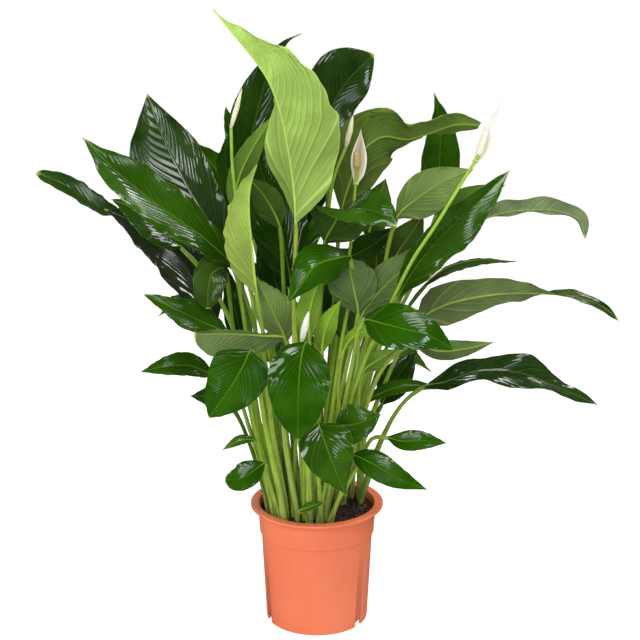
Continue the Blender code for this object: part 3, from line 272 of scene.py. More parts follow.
LEAVES = (
    Leaf("tall_front", "backlit", (-22, -30), ((296, 222, -90), (293, 184, -104), (288, 150, -124),
        (281, 115, -148), (268, 80, -172), (245, 48, -196), (228, 28, -206), (213, 9, -204)), 78, 147,
        fold=(32, 66), twist=(-14, 12, -4, -14, -8, 0), wide=0.36, taper=1.55, wave=(2, 3, 0.0),
        stem=((303, 440, -52), (296, 360, -64), (294, 290, -76)), girth=8.5),
    Leaf("top_back", "striped", (8, 24), ((328, 185, 88), (328, 140, 102), (333, 105, 116), (349, 79, 130),
        (374, 54, 146)), 47, 10, wide=0.72, taper=0.95, uneven=-0.22, wave=(4, 3, 1.0),
        stem=((322, 330, 50), (327, 230, 72))),
    Leaf("top_left", "dark", (-50, 4), ((236, 200, 58), (248, 150, 72), (260, 100, 84), (272, 62, 84),
        (284, 43, 80), (302, 33, 74)), 43, 12, wide=0.44, taper=2.1, wave=(3, 3, 0.5), stem=((268, 430, 0),
        (253, 345, 20), (240, 270, 40))),
    Leaf("top_left", "fresh", (-50, 4), ((234, 212, -24), (238, 182, -26), (252, 150, -30),
        (276, 112, -34)), 18, 190, stem=((263, 400, -4), (251, 290, -12)), girth=3.4),
    Leaf("wavy_left", "mid", (-46, 26), ((229, 205, 104), (227, 172, 110), (229, 140, 112),
        (226, 106, 118)), 30, 50, wave=(6, 2, 1.5), stem=((262, 400, 46), (242, 290, 82)), girth=4.2),
    Leaf("furled", "lit", (-44, -42), ((256, 293, -104), (252, 250, -118), (249, 215, -128),
        (250, 188, -134), (257, 164, -138)), 38, 235, fold=55, stem=((272, 430, -68), (265, 360, -82),
        (262, 325, -92)), girth=6.0),
    Leaf("olive_left", "olive", (-28, -8), ((280, 228, -34), (270, 205, -46), (258, 188, -58),
        (247, 178, -68)), 22, 185, stem=((290, 400, -22), (283, 277, -26))),
    Leaf("dark_middle", "dark", (-14, 6), ((291, 286, 10), (285, 250, 14), (273, 205, 20), (262, 170, 26),
        (256, 132, 30)), 44, 5, stem=((296, 400, 4), (294, 340, 8))),
    Leaf("striped_left", "striped", (-58, -12), ((231, 264, -10), (208, 220, 6), (188, 187, 24),
        (162, 134, 52), (147, 93, 74)), 61, -12, wide=0.58, uneven=-0.2, wave=(3, 3, 0.8),
        stem=((276, 430, -30), (259, 345, -26), (243, 290, -18)), girth=6.0),
    Leaf("left_upper", "mid", (-66, -32), ((235, 271, -74), (206, 240, -92), (173, 216, -106),
        (137, 189, -116), (112, 168, -118), (82, 137, -110)), 43, 38, fold=14, wide=0.6, uneven=-0.06,
        wave=(3, 3, 2.0), stem=((260, 430, -56), (248, 345, -60), (240, 295, -66)), girth=6.0),
    Leaf("far_left", "satin", (-70, 10), ((163, 236, 120), (129, 220, 112), (99, 208, 100), (69, 188, 88),
        (36, 173, 80)), 31, 52, twist=(60, 40, 10, 0, -10), taper=0.5, stem=((250, 400, 40),
        (215, 290, 90))),
    Leaf("left_lower", "mid", (-74, -16), ((181, 248, -38), (155, 226, -42), (130, 208, -42),
        (111, 199, -38)), 34, 35, stem=((253, 420, -26), (236, 336, -32), (204, 273, -36))),
    Leaf("left_lower", "olive", (-74, -16), ((227, 277, -84), (222, 268, -94), (212, 274, -106),
        (208, 290, -112), (208, 309, -112)), 26, 0, taper=0.6, stem=((256, 430, -34), (236, 345, -52),
        (230, 300, -72)), girth=3.4),
    Leaf("purple_left", "purple", (-60, 6), ((217, 322, 10), (196, 285, 18), (172, 250, 30), (140, 226, 42),
        (104, 209, 52)), 53, 32, fold=10, wide=0.5, uneven=0.08, wave=(3, 3, 0.3), stem=((256, 430, 14),
        (238, 365, 10))),
    Leaf("left_pointed", "mid", (-72, -46), ((228, 335, -92), (200, 321, -100), (172, 308, -104),
        (143, 294, -98)), 25, 30, wave=(4, 2, 0.4), stem=((254, 420, -74), (243, 360, -84)), girth=4.2),
    Leaf("left_pointed", "fresh", (-72, -46), ((254, 441, -62), (242, 440, -66), (222, 450, -66)), 9, 30,
        stem=((262, 462, -58),), girth=2.8),
    Leaf("level_left", "grey", (-30, -54), ((284, 339, -130), (262, 336, -142), (230, 334, -150),
        (194, 334, -152)), 35, 220, fold=40, wide=0.7, taper=0.5, stem=((284, 430, -84), (289, 365, -112))),
    Leaf("left_low", "mid", (-78, -28), ((214, 376, -66), (190, 366, -78), (165, 367, -86),
        (140, 372, -82)), 22, 35, stem=((250, 430, -46), (232, 385, -58)), girth=4.0),
    Leaf("left_low", "dark", (-78, -28), ((232, 408, -50), (215, 398, -54), (190, 396, -50)), 20, 30,
        stem=((250, 445, -42),), girth=3.2),
    Leaf("heart_left", "vivid", (-50, -60), ((250, 351, -176), (244, 364, -190), (232, 385, -198),
        (219, 403, -200), (209, 418, -194)), 43, 0, fold=8, wide=0.28, taper=0.95, stem=((266, 430, -104),
        (259, 385, -138), (254, 352, -162))),
    Leaf("heart_middle", "vivid", (-8, -66), ((306, 343, -190), (302, 354, -208), (299, 378, -222),
        (298, 408, -226), (298, 441, -216)), 44, 0, fold=8, wide=0.38, taper=0.9, stem=((308, 440, -118),
        (311, 385, -156), (309, 350, -178))),
    Leaf("heart_middle", "fresh", (-8, -66), ((300, 511, -90), (310, 507, -96), (325, 502, -98)), 9, -40,
        girth=2.4),
    Leaf("grey_middle", "grey", (12, -16), ((358, 314, -66), (354, 290, -76), (350, 268, -74),
        (351, 259, -58), (354, 264, -34)), 36, 180, fold=8, stem=((333, 430, -44), (348, 360, -54))),
    Leaf("grey_middle", "vivid", (12, -16), ((350, 258, -84), (333, 259, -120), (315, 266, -146),
        (301, 285, -160), (287, 303, -162)), 34, 10, fold=-25, stem=((330, 430, -48), (342, 340, -52),
        (352, 285, -60))),
    Leaf("yellow_green", "lime", (-4, -44), ((309, 342, -112), (309, 318, -118), (314, 295, -120),
        (325, 266, -114)), 20, 200, fold=25, stem=((307, 440, -70), (309, 380, -96))),
    Leaf("yellow_green", "lime", (-4, -44), ((322, 352, -84), (324, 335, -88), (331, 317, -90),
        (341, 300, -86)), 16, 185, stem=((318, 440, -60), (321, 385, -74)), girth=3.6),
    Leaf("upright_left", "pale", (-32, -34), ((286, 342, -50), (276, 318, -56), (266, 298, -62),
        (256, 277, -66)), 32, 165, fold=20, stem=((286, 430, -44),)),
    Leaf("upright_left", "lime", (-32, -34), ((300, 346, -36), (297, 320, -40), (292, 302, -40),
        (288, 287, -38)), 12, 180, stem=((296, 430, -36),), girth=3.2),
    Leaf("arching_middle", "mid", (-4, -24), ((325, 243, -34), (333, 226, -46), (342, 212, -64),
        (358, 209, -86), (379, 213, -102), (397, 226, -112)), 48, -70, twist=(-110, -80, -20, 10, 20),
        wide=0.32, taper=0.8, stem=((314, 430, -28), (317, 320, -30))),
    Leaf("big_right", "twotone", (6, 10), ((342, 211, 24), (351, 180, 18), (361, 154, 10), (382, 137, 2),
        (408, 139, -4), (430, 133, -6), (455, 125, -2), (487, 126, 6)), 48, 185, wide=0.42, taper=1.0,
        twist=(0, 0, 1, 5, 15, 34, 56, 66, 50, 25, 10), wave=(3, 3, 0.0), stem=((330, 400, 16),
        (334, 300, 22)), girth=6.0),
    Leaf("right_upright", "mid", (38, 52), ((436, 215, 106), (438, 185, 104), (440, 150, 98),
        (439, 120, 88), (434, 92, 76)), 32, 15, twist=(0, 0, 0, 10, 50), stem=((356, 410, 78),
        (404, 290, 104))),
    Leaf("right_green", "pale", (24, 24), ((397, 218, -52), (418, 198, -68), (448, 180, -80),
        (474, 169, -86)), 33, 170, stem=((345, 420, -16), (378, 300, -34))),
    Leaf("right_light", "fresh", (44, 34), ((437, 236, 6), (455, 208, -2), (478, 195, -6), (506, 185, -4)),
        22, 175, stem=((356, 400, 22), (410, 290, 14)), girth=4.2),
    Leaf("right_glossy", "streaked", (22, 4), ((397, 297, -88), (407, 280, -94), (426, 253, -104),
        (449, 228, -112), (474, 205, -118), (510, 170, -114)), 40, 30, fold=30, wide=0.55, uneven=-0.12,
        wave=(4, 3, 0.6), stem=((348, 420, -48), (373, 350, -70)), girth=6.0),
    Leaf("far_right_high", "silver", (56, 44), ((430, 242, 64), (460, 228, 62), (495, 215, 58),
        (530, 210, 54), (560, 212, 48), (579, 220, 42), (585, 239, 34)), 12.5, 200, wide=0.7, taper=0.7,
        uneven=0.55, wave=(7, 4.5, 0.2), stem=((364, 400, 46), (400, 290, 60))),
    Leaf("far_right_high", "dark", (56, 44), ((425, 286, 84), (448, 268, 86), (480, 260, 86),
        (517, 262, 80)), 17, 115, stem=((368, 400, 54), (395, 330, 74)), girth=3.4),
    Leaf("far_right", "mist", (62, 42), ((417, 322, -4), (443, 306, -10), (490, 295, -16), (530, 293, -20),
        (575, 297, -24), (601, 306, -22), (619, 321, -14)), 32, 190, fold=8, wide=0.12, taper=0.8,
        twist=(0, 0, 0, 16, 36, 50, 64, 98, 122, 134, 138), wave=(3, 3, 0.9), stem=((363, 442, 12),
        (376, 405, 6), (400, 350, 0)), girth=5.4),
    Leaf("far_right", "mid", (62, 42), ((366, 404, -8), (386, 391, -12), (412, 386, -18), (443, 389, -24)),
        13, -30, stem=((360, 450, 0),), girth=3.4),
    Leaf("bright_right", "vivid", (14, -46), ((364, 321, -148), (384, 324, -166), (404, 329, -178),
        (430, 336, -186), (455, 351, -180)), 34, -15, fold=10, wide=0.38, stem=((340, 430, -94),
        (352, 365, -124))),
    Leaf("bright_right", "lime", (14, -46), ((343, 352, -118), (352, 338, -128), (366, 331, -134),
        (378, 333, -138), (389, 343, -136)), 10, 200, stem=((338, 430, -84), (339, 375, -108)), girth=3.2),
    Leaf("right_pale", "grey", (38, 14), ((412, 345, -104), (440, 351, -112), (465, 349, -114),
        (495, 342, -108)), 16, 200, stem=((362, 420, -62), (385, 365, -84)), girth=4.2),
    Leaf("right_pale", "fresh", (38, 14), ((363, 372, -84), (378, 360, -88), (397, 349, -86)), 14, 190,
        stem=((357, 430, -62),), girth=3.2),
    Leaf("wavy_right", "striped", (70, 22), ((424, 387, -46), (445, 382, -54), (480, 371, -64),
        (520, 373, -72), (560, 388, -72), (598, 405, -64)), 28, -35, wide=0.5, wave=(9, 2.5, 2.5),
        stem=((367, 480, 12), (380, 443, -8), (395, 414, -28), (407, 399, -38)), girth=6.0),
    Leaf("low_right", "vivid", (16, -62), ((352, 456, -128), (371, 463, -142), (393, 476, -154),
        (428, 490, -150)), 22, -15, wide=0.34, stem=((346, 478, -104),), girth=3.6),
    Leaf("low_right", "vivid", (16, -62), ((388, 438, -92), (402, 441, -98), (424, 441, -102),
        (447, 443, -98)), 17, -20, stem=((359, 464, -74), (373, 438, -86)), girth=3.0),
    Leaf("hanging_low", "streaked", (4, -66), ((318, 424, -156), (324, 440, -174), (333, 464, -180),
        (346, 496, -170)), 40, -5, wide=0.28, taper=1.5, stem=((318, 470, -106), (316, 436, -140)),
        girth=4.0),
    Leaf("hanging_low", "streaked", (4, -66), ((336, 426, -138), (350, 425, -152), (365, 421, -158),
        (381, 414, -154)), 30, -10, stem=((328, 470, -98), (331, 440, -124)), girth=3.6),
    Leaf("small_left", "vivid", (-58, -52), ((264, 464, -106), (252, 472, -114), (240, 479, -118),
        (225, 480, -114)), 22, 20, wide=0.5, taper=0.6, stem=((268, 478, -92),), girth=3.2),
    Leaf("grey_right", "grey", (18, -28), ((361, 318, -60), (372, 300, -62), (388, 283, -64),
        (410, 263, -64), (430, 237, -60)), 31, 175, fold=15, stem=((345, 430, -60), (357, 365, -72))),
    Leaf("dark_glossy", "dark", (12, 4), ((345, 262, 22), (360, 252, 18), (378, 242, 12), (397, 226, 8)),
        22, -20, stem=((334, 400, 2), (340, 310, 14))),
    Leaf("dark_glossy", "olive", (12, 4), ((348, 345, -10), (346, 320, -14), (347, 300, -16),
        (352, 280, -16)), 24, 180, stem=((338, 420, -6),), girth=4.0),
    Leaf("olive_right", "olive", (30, 36), ((385, 276, 36), (398, 252, 32), (412, 232, 26), (424, 212, 20)),
        29, 170, stem=((345, 400, 28), (366, 320, 34))),
    Leaf("olive_top", "olive", (18, 24), ((368, 238, 30), (373, 216, 26), (379, 198, 22), (386, 178, 18)),
        27, 175, stem=((338, 400, 14), (352, 300, 26)), girth=4.2),
    Leaf("dark_right", "dark", (50, 62), ((382, 404, 44), (394, 382, 46), (406, 365, 46), (418, 350, 44)),
        26, 0, stem=((362, 445, 54),), girth=4.2),
    Leaf("inner_left", "dark", (-38, 16), ((285, 318, 44), (276, 284, 50), (268, 254, 54), (259, 222, 56)),
        28, 10, stem=((276, 430, 24), (282, 350, 36)), girth=4.2),
    Leaf("inner_left", "dark", (-38, 16), ((246, 362, 26), (239, 330, 30), (232, 298, 34), (226, 264, 36)),
        22, 20, stem=((262, 430, 20),), girth=3.4),
    Leaf("inner_right", "olive", (28, 48), ((376, 300, 60), (376, 272, 62), (378, 248, 62), (384, 222, 60)),
        26, 170, stem=((346, 420, 50), (364, 340, 56)), girth=4.2),
    Leaf("inner_right", "dark", (28, 48), ((332, 346, 40), (331, 318, 44), (328, 290, 46), (322, 258, 46)),
        24, 10, stem=((332, 430, 44),), girth=3.4),
    Leaf("back_high", "dark", (-10, 36), ((306, 225, 80), (312, 170, 120), (318, 142, 160),
        (322, 122, 215)), 42, 0, twist=(0, 0, 15), uneven=-0.15, wave=(4, 3, 0.2), stem=((304, 380, 56),
        (304, 290, 66))),
    Leaf("back_high", "mid", (-10, 36), ((300, 262, 120), (296, 222, 175), (289, 214, 235),
        (280, 240, 292)), 46, level=12, fold=12, wave=(4, 3, 0.6), stem=((304, 400, 74), (303, 330, 92))),
    Leaf("back_left", "mid", (-36, 38), ((254, 240, 116), (238, 196, 146), (216, 170, 180),
        (194, 142, 220)), 44, 10, wave=(3, 3, 0.4), stem=((279, 400, 72), (268, 310, 94))),
    Leaf("back_left", "dark", (-36, 38), ((262, 300, 120), (236, 256, 180), (212, 244, 232),
        (184, 262, 280)), 42, level=28, fold=10, wave=(4, 2, 0.1), stem=((280, 420, 76), (272, 350, 98))),
    Leaf("back_middle", "dark", (14, 50), ((335, 300, 130), (345, 256, 200), (356, 252, 268),
        (366, 290, 330)), 50, level=-8, fold=8, wide=0.36, wave=(5, 3, 0.9), stem=((326, 420, 86),
        (330, 350, 106))),
    Leaf("back_middle", "mid", (14, 50), ((375, 330, 120), (394, 286, 168), (416, 264, 214),
        (446, 262, 252)), 38, level=-30, fold=14, wave=(3, 3, 0.3), stem=((340, 430, 82), (356, 370, 100))),
    Leaf("back_low_left", "mid", (-48, 56), ((250, 330, 110), (218, 306, 160), (190, 300, 206),
        (158, 316, 246)), 38, level=24, fold=10, wave=(3, 3, 0.5), stem=((272, 430, 80), (262, 370, 96))),
    Leaf("back_low_left", "vivid", (-48, 56), ((282, 370, 120), (266, 342, 180), (256, 340, 232),
        (248, 372, 282)), 36, level=-5, wide=0.34, wave=(4, 2, 0.2), stem=((286, 440, 92),
        (286, 400, 106))),
    Leaf("back_low", "mid", (36, 64), ((318, 350, 120), (316, 322, 176), (314, 326, 224), (310, 366, 268)),
        38, level=6, fold=8, wide=0.34, wave=(4, 3, 0.7), stem=((330, 430, 92), (322, 385, 108))),
    Leaf("back_low", "vivid", (36, 64), ((352, 385, 120), (374, 360, 168), (400, 354, 212),
        (432, 372, 246)), 34, level=-22, fold=10, wave=(3, 2, 0.0), stem=((344, 440, 92), (348, 410, 106))),
)

BLOOMS = (
    Bloom("open", (4, -8), ((324, 430, -4), (338, 330, 0), (350, 250, -4), (354, 205, -8), (355, 191, -11),
        (357, 168, -14)), ((358, 174, -4), (359, 158, -2), (361, 128, -10)), 13, 25, (356, 151, -17), 26),
    Bloom("white_right", (22, -42), ((344, 428, -80), (350, 402, -92), (364, 362, -106), (376, 335, -114),
        (393, 299, -128), (412, 261, -156), (437, 223, -170), (456, 192, -172), (479, 155, -168)),
        ((483, 153, -157), (492, 130, -156), (503, 96, -162)), 21, 25, (487, 130, -172), 11),
    Bloom("slim_left", (-38, -22), ((284, 430, -26), (267, 345, -30), (250, 290, -36), (234, 182, -50),
        (232, 159, -50), (231, 128, -50)), ((237, 106, -50), (242, 88, -50)), 3.8),
    Bloom("slim_right", (-4, 20), ((316, 430, 12), (321, 300, 4), (328, 215, -8), (334, 178, -16),
        (346, 147, -22)), ((350, 130, -24), (353, 115, -24)), 4.2),
    Bloom("bud", (-20, -54), ((304, 430, -90), (303, 380, -122), (302, 341, -140)), ((305, 326, -141),
        (309, 311, -142)), 5),
)


def sight_point(point):
    """The place seen at picture point (x, y), at the given depth in millimetres behind the pot's axis."""
    across = (point[0] - PICTURE_SIZE / 2) / FOCAL_LENGTH
    up = (PICTURE_SIZE / 2 - point[1]) / FOCAL_LENGTH
    sight = np.array([
        across,
        math.cos(EYE_PITCH) + up * math.sin(EYE_PITCH),
        up * math.cos(EYE_PITCH) - math.sin(EYE_PITCH),
    ])
    return EYE + sight * (point[2] * MM - EYE[1]) / sight[1]


def sight_points(points):
    return [sight_point(point) for point in points]


def smooth_curve(points):
    """A centripetal Catmull-Rom curve through the given points, in SPAN_STEPS steps from each to the next."""
    points = np.asarray(points, float)
    steps = np.diff(points, axis=0)
    spans = np.linalg.norm(steps, axis=1, keepdims=True) ** 0.5
    slopes = steps / spans
    inner = (slopes[:-1] * spans[1:] + slopes[1:] * spans[:-1]) / (spans[:-1] + spans[1:])
    tangents = np.vstack([slopes[:1], inner, slopes[-1:]])
    u = np.linspace(0.0, 1.0, SPAN_STEPS, endpoint=False)[:, None]
    curve = [
        points[i] * (1 + 2 * u) * (1 - u) ** 2
        + points[i + 1] * u * u * (3 - 2 * u)
        + tangents[i] * span * u * (1 - u) ** 2
        + tangents[i + 1] * span * u * u * (u - 1)
        for i, span in enumerate(spans)
    ]
    return np.vstack([*curve, points[-1:]])


def unit(vectors):
    return vectors / np.linalg.norm(vectors, axis=-1, keepdims=True)


def read_at(wanted, places, vectors):
    """Vectors that are known at rising places, read at the wanted ones."""
    return np.stack([np.interp(wanted, places, vectors[:, k]) for k in range(3)], axis=-1)


def at_fractions(curve, fractions):
    """Points and unit tangents at fractions of a curve's length."""
    lengths = np.append(0.0, np.cumsum(np.linalg.norm(np.diff(curve, axis=0), axis=1)))
    wanted = fractions * lengths[-1]
    slopes = np.gradient(curve, lengths, axis=0)
    return read_at(wanted, lengths, curve), unit(read_at(wanted, lengths, slopes))


def turned(vectors, axes, angles):
    """Vectors at right angles to unit axes, turned about them."""
    return vectors * np.cos(angles) + np.cross(axes, vectors) * np.sin(angles)


def smooth_step(x):
    x = np.clip(x, 0.0, 1.0)
    return x * x * (3 - 2 * x)


def sideways(points, tangents, start=0, face=0.0, level=None):
    """Unit vectors across the line that turn as little as they can along it."""
    upper_side = EYE - points[start] if level is None else np.array([0.0, 0.0, 1.0])
    roll = face if level is None else level
    across = turned(unit(np.cross(tangents[start], upper_side)), tangents[start], math.radians(roll))
    sides = [None] * len(points)
    sides[start] = across
    for order in (range(start + 1, len(points)), range(start - 1, -1, -1)):
        carried = across
        for i in order:
            carried = unit(carried - tangents[i] * carried.dot(tangents[i]))
            sides[i] = carried
    return np.array(sides)


def blade_width(t, wide, taper):
    """The blade's half width at every t, from 0 at the neck to 1 at the tip, as a share of the widest."""
    low = np.clip(t / wide, 0.0, 1.0)
    high = np.clip((t - wide) / (1 - wide), 0.0, 1.0)
    return (1 - (1 - low) ** 2.2) ** 0.85 * (1 - high ** 1.8) ** taper


def stalk_line(root, stem, neck_on):
    """A stalk's guide points: straight out of its hole, then by way of stem to the points neck_on."""
    foot = np.array([root[0] * MM, root[1] * MM, SOIL_TOP - HOLE_DEPTH + TOUCHING_GAP])
    top = foot + [0.0, 0.0, HOLE_DEPTH + STALK_STRAIGHT]
    on = sight_points(neck_on)
    by_way = sight_points(stem) or [top + (on[0] - top) * STALK_LEAN]
    return foot, np.array([top, *by_way]), np.array(on)


def leaf_spine(leaf):
    """The line that a leaf is built on, with t from -1 at the soil by 0 at the neck to 1 at the tip."""
    foot, stalk, blade = stalk_line(leaf.root, leaf.stem, leaf.line)
    curve = smooth_curve(np.vstack([foot, stalk, blade]))
    neck = SPAN_STEPS * (len(stalk) + 1)
    shares = np.linspace(0, 1, SPINE_STEPS)
    stalk_points, stalk_tangents = at_fractions(curve[SPAN_STEPS:neck + 1], shares[:-1])
    blade_points, blade_tangents = at_fractions(curve[neck:], shares)
    t = np.append(shares[:-1] - 1, shares)
    points = np.vstack([stalk_points, blade_points])
    tangents = np.vstack([stalk_tangents, blade_tangents])
    sides = sideways(points, tangents, np.abs(t - LEAF_FACES_AT).argmin(), leaf.face, leaf.level)
    twist = np.radians(np.interp(t, np.linspace(0, 1, len(leaf.twist)), leaf.twist))
    length = np.linalg.norm(np.diff(blade_points, axis=0), axis=1).sum()
    return Spine(t, points, tangents, turned(sides, tangents, twist[:, None]), length)


def spine_at(spine, t):
    """Places and unit vectors across and up, at every t of an array."""
    point, tangent, side = (read_at(t, spine.t, each) for each in (spine.points, spine.tangents, spine.sides))
    tangent = unit(tangent)
    side = unit(side - tangent * (side * tangent).sum(axis=-1, keepdims=True))
    return point, side, np.cross(side, tangent)


def rings_around(points, sides, ups, radii, count, groove=0.0):
    """Round rings, each from left over the top to the right and back below, with a groove on top."""
    angles = math.pi - (np.arange(count) + 0.5) * math.tau / count
    dip = 1 - groove * np.exp(-((angles - math.pi / 2) / GROOVE_WIDTH) ** 2)
    across, over = dip * np.cos(angles), dip * np.sin(angles)
    around = sides[:, None] * across[:, None] + ups[:, None] * over[:, None]
    return points[:, None] + np.asarray(radii)[..., None] * around


def ring_faces(rings, ring):
    """Four-cornered faces between neighbouring rings of points."""
    faces = []
    for low in range(0, (rings - 1) * ring, ring):
        for k in range(ring):
            after = (k + 1) % ring
            faces.append((low + k, low + after, low + ring + after, low + ring + k))
    return faces


def fan(first, ring, tip):
    """Three-cornered faces from a ring, given its first point, to a tip."""
    return [(first + k, first + (k + 1) % ring, tip) for k in range(ring)]


def facts_at(*values):
    """The four values that the materials read at every point of a piece's rings."""
    return np.stack(np.broadcast_arrays(*values), axis=-1)


def in_scene(name, data):
    """A new object in the scene's collection."""
    made = bpy.data.objects.new(name, data)
    bpy.context.scene.collection.objects.link(made)
    return made


def closed_body(name, points, faces, materials, slots=None, facts=None, sharp=SHARP_EDGE):
    """A closed mesh object. facts gives each point its UV map and its values for the materials."""
    mesh = bpy.data.meshes.new(name)
    mesh.from_pydata([tuple(point) for point in points], [], faces)
    for material in materials:
        mesh.materials.append(material)
    if slots is not None:
        mesh.polygons.foreach_set("material_index", slots)
    if facts is not None:
        corners = np.empty(len(mesh.loops), np.int32)
        mesh.loops.foreach_get("vertex_index", corners)
        layer = mesh.uv_layers.new(name="veins")
        layer.data.foreach_set("uv", facts[corners, :2].ravel().astype(np.float32))
        for k, fact in ((2, "along"), (3, "edge")):
            values = mesh.attributes.new(fact, "FLOAT", "POINT")
            values.data.foreach_set("value", facts[:, k].astype(np.float32))
    shape = bmesh.new()
    shape.from_mesh(mesh)
    bmesh.ops.recalc_face_normals(shape, faces=shape.faces)
    shape.to_mesh(mesh)
    shape.free()
    mesh.shade_smooth()
    mesh.set_sharp_from_angle(angle=math.radians(sharp))
    return in_scene(name, mesh)


def ringed_body(name, rings, facts, materials, tip=None, faces=None, **details):
    """A closed body through rings of points, with a flat foot and a tip, as (place, facts), or a flat end."""
    count, ring = rings.shape[:2]
    points, facts = rings.reshape(-1, 3), facts.reshape(-1, 4)
    faces = faces or ring_faces(count, ring)
    last = (count - 1) * ring
    if tip:
        points = np.vstack([points, tip[0]])
        facts = np.vstack([facts, tip[1]])
        faces += fan(last, ring, len(points) - 1)
    else:
        faces.append(tuple(range(last, last + ring)))
    faces.append(tuple(range(ring - 1, -1, -1)))
    return closed_body(name, points, faces, materials, facts=facts, **details)


def stands_for(piece, node):
    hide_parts(node)
    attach(piece, "root")


# Leaves


def quills(half, side_columns):
    """Where a blade's columns stand, from -1 to 1: close together at the midrib."""
    near = RIB_REACH / half * np.array(RIB_COLUMNS)
    right = np.append(near, np.linspace(near[-1], 1, side_columns)[1:])
    return np.concatenate([-right[::-1], [0.0], right])


def blade_sheet(leaf, spine, s, q, frilled=1.0):
    """A blade's middle surface. Its rows s follow the veins, which swing forward from the midrib."""
    swing = min(VEIN_SWING * leaf.half * MM / spine.length, MOST_SWING)
    forward = 0.7 * np.abs(q) + 0.3 * np.abs(q) ** 2.2
    t = s + swing * (1 - s) * (1 - (1 - s) ** 6) * forward
    half = leaf.half * MM * blade_width(t, leaf.wide, leaf.taper)
    fold = np.radians(np.interp(t, (0, 1), np.broadcast_to(leaf.fold, 2)))
    height, count, phase = leaf.wave
    calm = np.maximum(np.sin(np.pi * t), 0.0) ** 0.6
    shift = phase + np.where(q < 0, 0.35, 0.0)
    wave = height * MM * calm * np.abs(q) ** 1.5 * np.sin(math.tau * (count * t + shift))
    frill = sum(part * np.sin(math.tau * (waves * t + shifts * shift)) for waves, shifts, part in FRILL_WAVES)
    frill = frill * frilled * FRILL * leaf.half / LARGE_HALF_WIDTH * calm * np.abs(q) ** 3
    reach = half * q * (1 + leaf.uneven * np.sign(q))
    arch = CAMBER * 4 * half * (np.abs(q) - q * q)
    point, side, up = spine_at(spine, t)
    across = reach * np.cos(fold) - arch * np.sin(fold) * np.sign(q)
    over = np.abs(reach) * np.sin(fold) + arch * np.cos(fold) + wave + frill
    middle = point + side * across[..., None] + up * over[..., None]
    normals = np.cross(np.gradient(middle, axis=1), np.gradient(middle, axis=0))
    size = np.linalg.norm(normals, axis=-1, keepdims=True)
    normals = np.where(size > 1e-12, normals / np.maximum(size, 1e-12), up)
    return middle, normals, t, reach


def half_thickness(edge):
    return BLADE / 2 * (1 - 0.5 * smooth_step((edge - RIM_FROM) / (1 - RIM_FROM)))


def there_and_back(values):
    """A sheet's values over its upper face and back below."""
    return np.concatenate([values, values[:, ::-1]], axis=1)


def sheet_rings(spine, s, sheet, above, below, foot_radius):
    """Rings over a sheet and back below it, which grow flat out of a round foot."""
    middle, normals, t, _ = sheet
    upper = middle + normals * above[..., None]
    lower = middle + normals * below[..., None]
    flat_rings = np.concatenate([upper, lower[:, ::-1]], axis=1)
    round_rings = rings_around(*spine_at(spine, s[:, 0]), foot_radius, flat_rings.shape[1])
    flat = smooth_step(there_and_back(t) / FLAT_FROM)[..., None]
    return round_rings * (1 - flat) + flat_rings * flat


def vein_spacing(middle, per_vein):
    """How far apart neighbouring veins run, measured straight across them, at every point of a sheet."""
    onward = np.gradient(middle, axis=0) * per_vein
    along_vein = np.gradient(middle, axis=1)
    along_vein /= np.maximum(np.linalg.norm(along_vein, axis=-1, keepdims=True), 1e-9)
    beside = onward - along_vein * (onward * along_vein).sum(axis=-1, keepdims=True)
    return np.linalg.norm(beside, axis=-1)


def blade_rings(leaf, spine):
    """A blade's rings, with what its materials read: vein phase, reach in millimetres, t and edge."""
    veins, per_vein, side_columns = LARGE_BLADE if leaf.half > LARGE_HALF_WIDTH else SMALL_BLADE
    q = quills(leaf.half, side_columns)[None, :]
    rows = veins * per_vein
    s = (np.arange(rows) / rows)[:, None]
    s = s + UNEVEN_VEINS / veins * s * (1 - s) * np.sin(math.tau * (2.3 * s + leaf.half))
    sheet = blade_sheet(leaf, spine, s, q)
    middle, _, t, reach = sheet
    phase = np.arange(rows)[:, None] / per_vein + np.where(q < 0, 0.5, 0.0)
    edge = np.abs(q) + 0 * s

    crest = np.abs(np.sin(math.pi * phase)) ** 1.2
    spacing = vein_spacing(middle, per_vein)
    before_tip = smooth_step((1 - s) / TIP_SHARE)
    fade = smooth_step((np.abs(reach) - RELIEF_FROM) / (RELIEF_WHOLE - RELIEF_FROM)) * before_tip
    fade = fade * (1 - 0.7 * edge ** 4) * smooth_step((spacing - FINEST_VEINS) / (2 * FINEST_VEINS))
    relief = RELIEF * TONES[leaf.tone].relief * spacing * fade * (crest - 0.6)
    rib = RIB_AT_NECK + (RIB_AT_TIP - RIB_AT_NECK) * s ** 0.6
    ridge = rib * np.exp(-(reach / (0.6 * rib)) ** 2)
    groove = RIB_GROOVE * np.exp(-(reach / (0.5 * rib)) ** 2) * before_tip
    small_vein = SMALL_VEIN * fade * np.maximum(1 - 3 * crest, 0.0)
    thick = half_thickness(edge)
    rings = sheet_rings(spine, s, sheet, relief + thick - groove, relief - thick - ridge - small_vein, rib)
    return rings, facts_at(*map(there_and_back, (phase, reach / MM, t, edge)))


def stalk_rings(leaf, spine, count):
    """A stalk's rings, from the foot in its hole to the neck, with a swelling close below the blade."""
    t = np.linspace(-1, 0, STALK_RINGS, endpoint=False)
    radius = leaf.girth * MM + (RIB_AT_NECK - leaf.girth * MM) * smooth_step(1.15 * (t + 1))
    height, place, width = SWELLING
    radius *= 1 + height * np.exp(-((t - place) / width) ** 2)
    rings = rings_around(*spine_at(spine, t), radius[:, None], count, STALK_GROOVE)
    foot = rings[:1] - [0.0, 0.0, HOLE_DEPTH + STALK_STRAIGHT]
    turn = np.arange(count) / count
    return np.concatenate([foot, rings]), facts_at(turn, turn, np.append(-1.0, t)[:, None], 0.0)


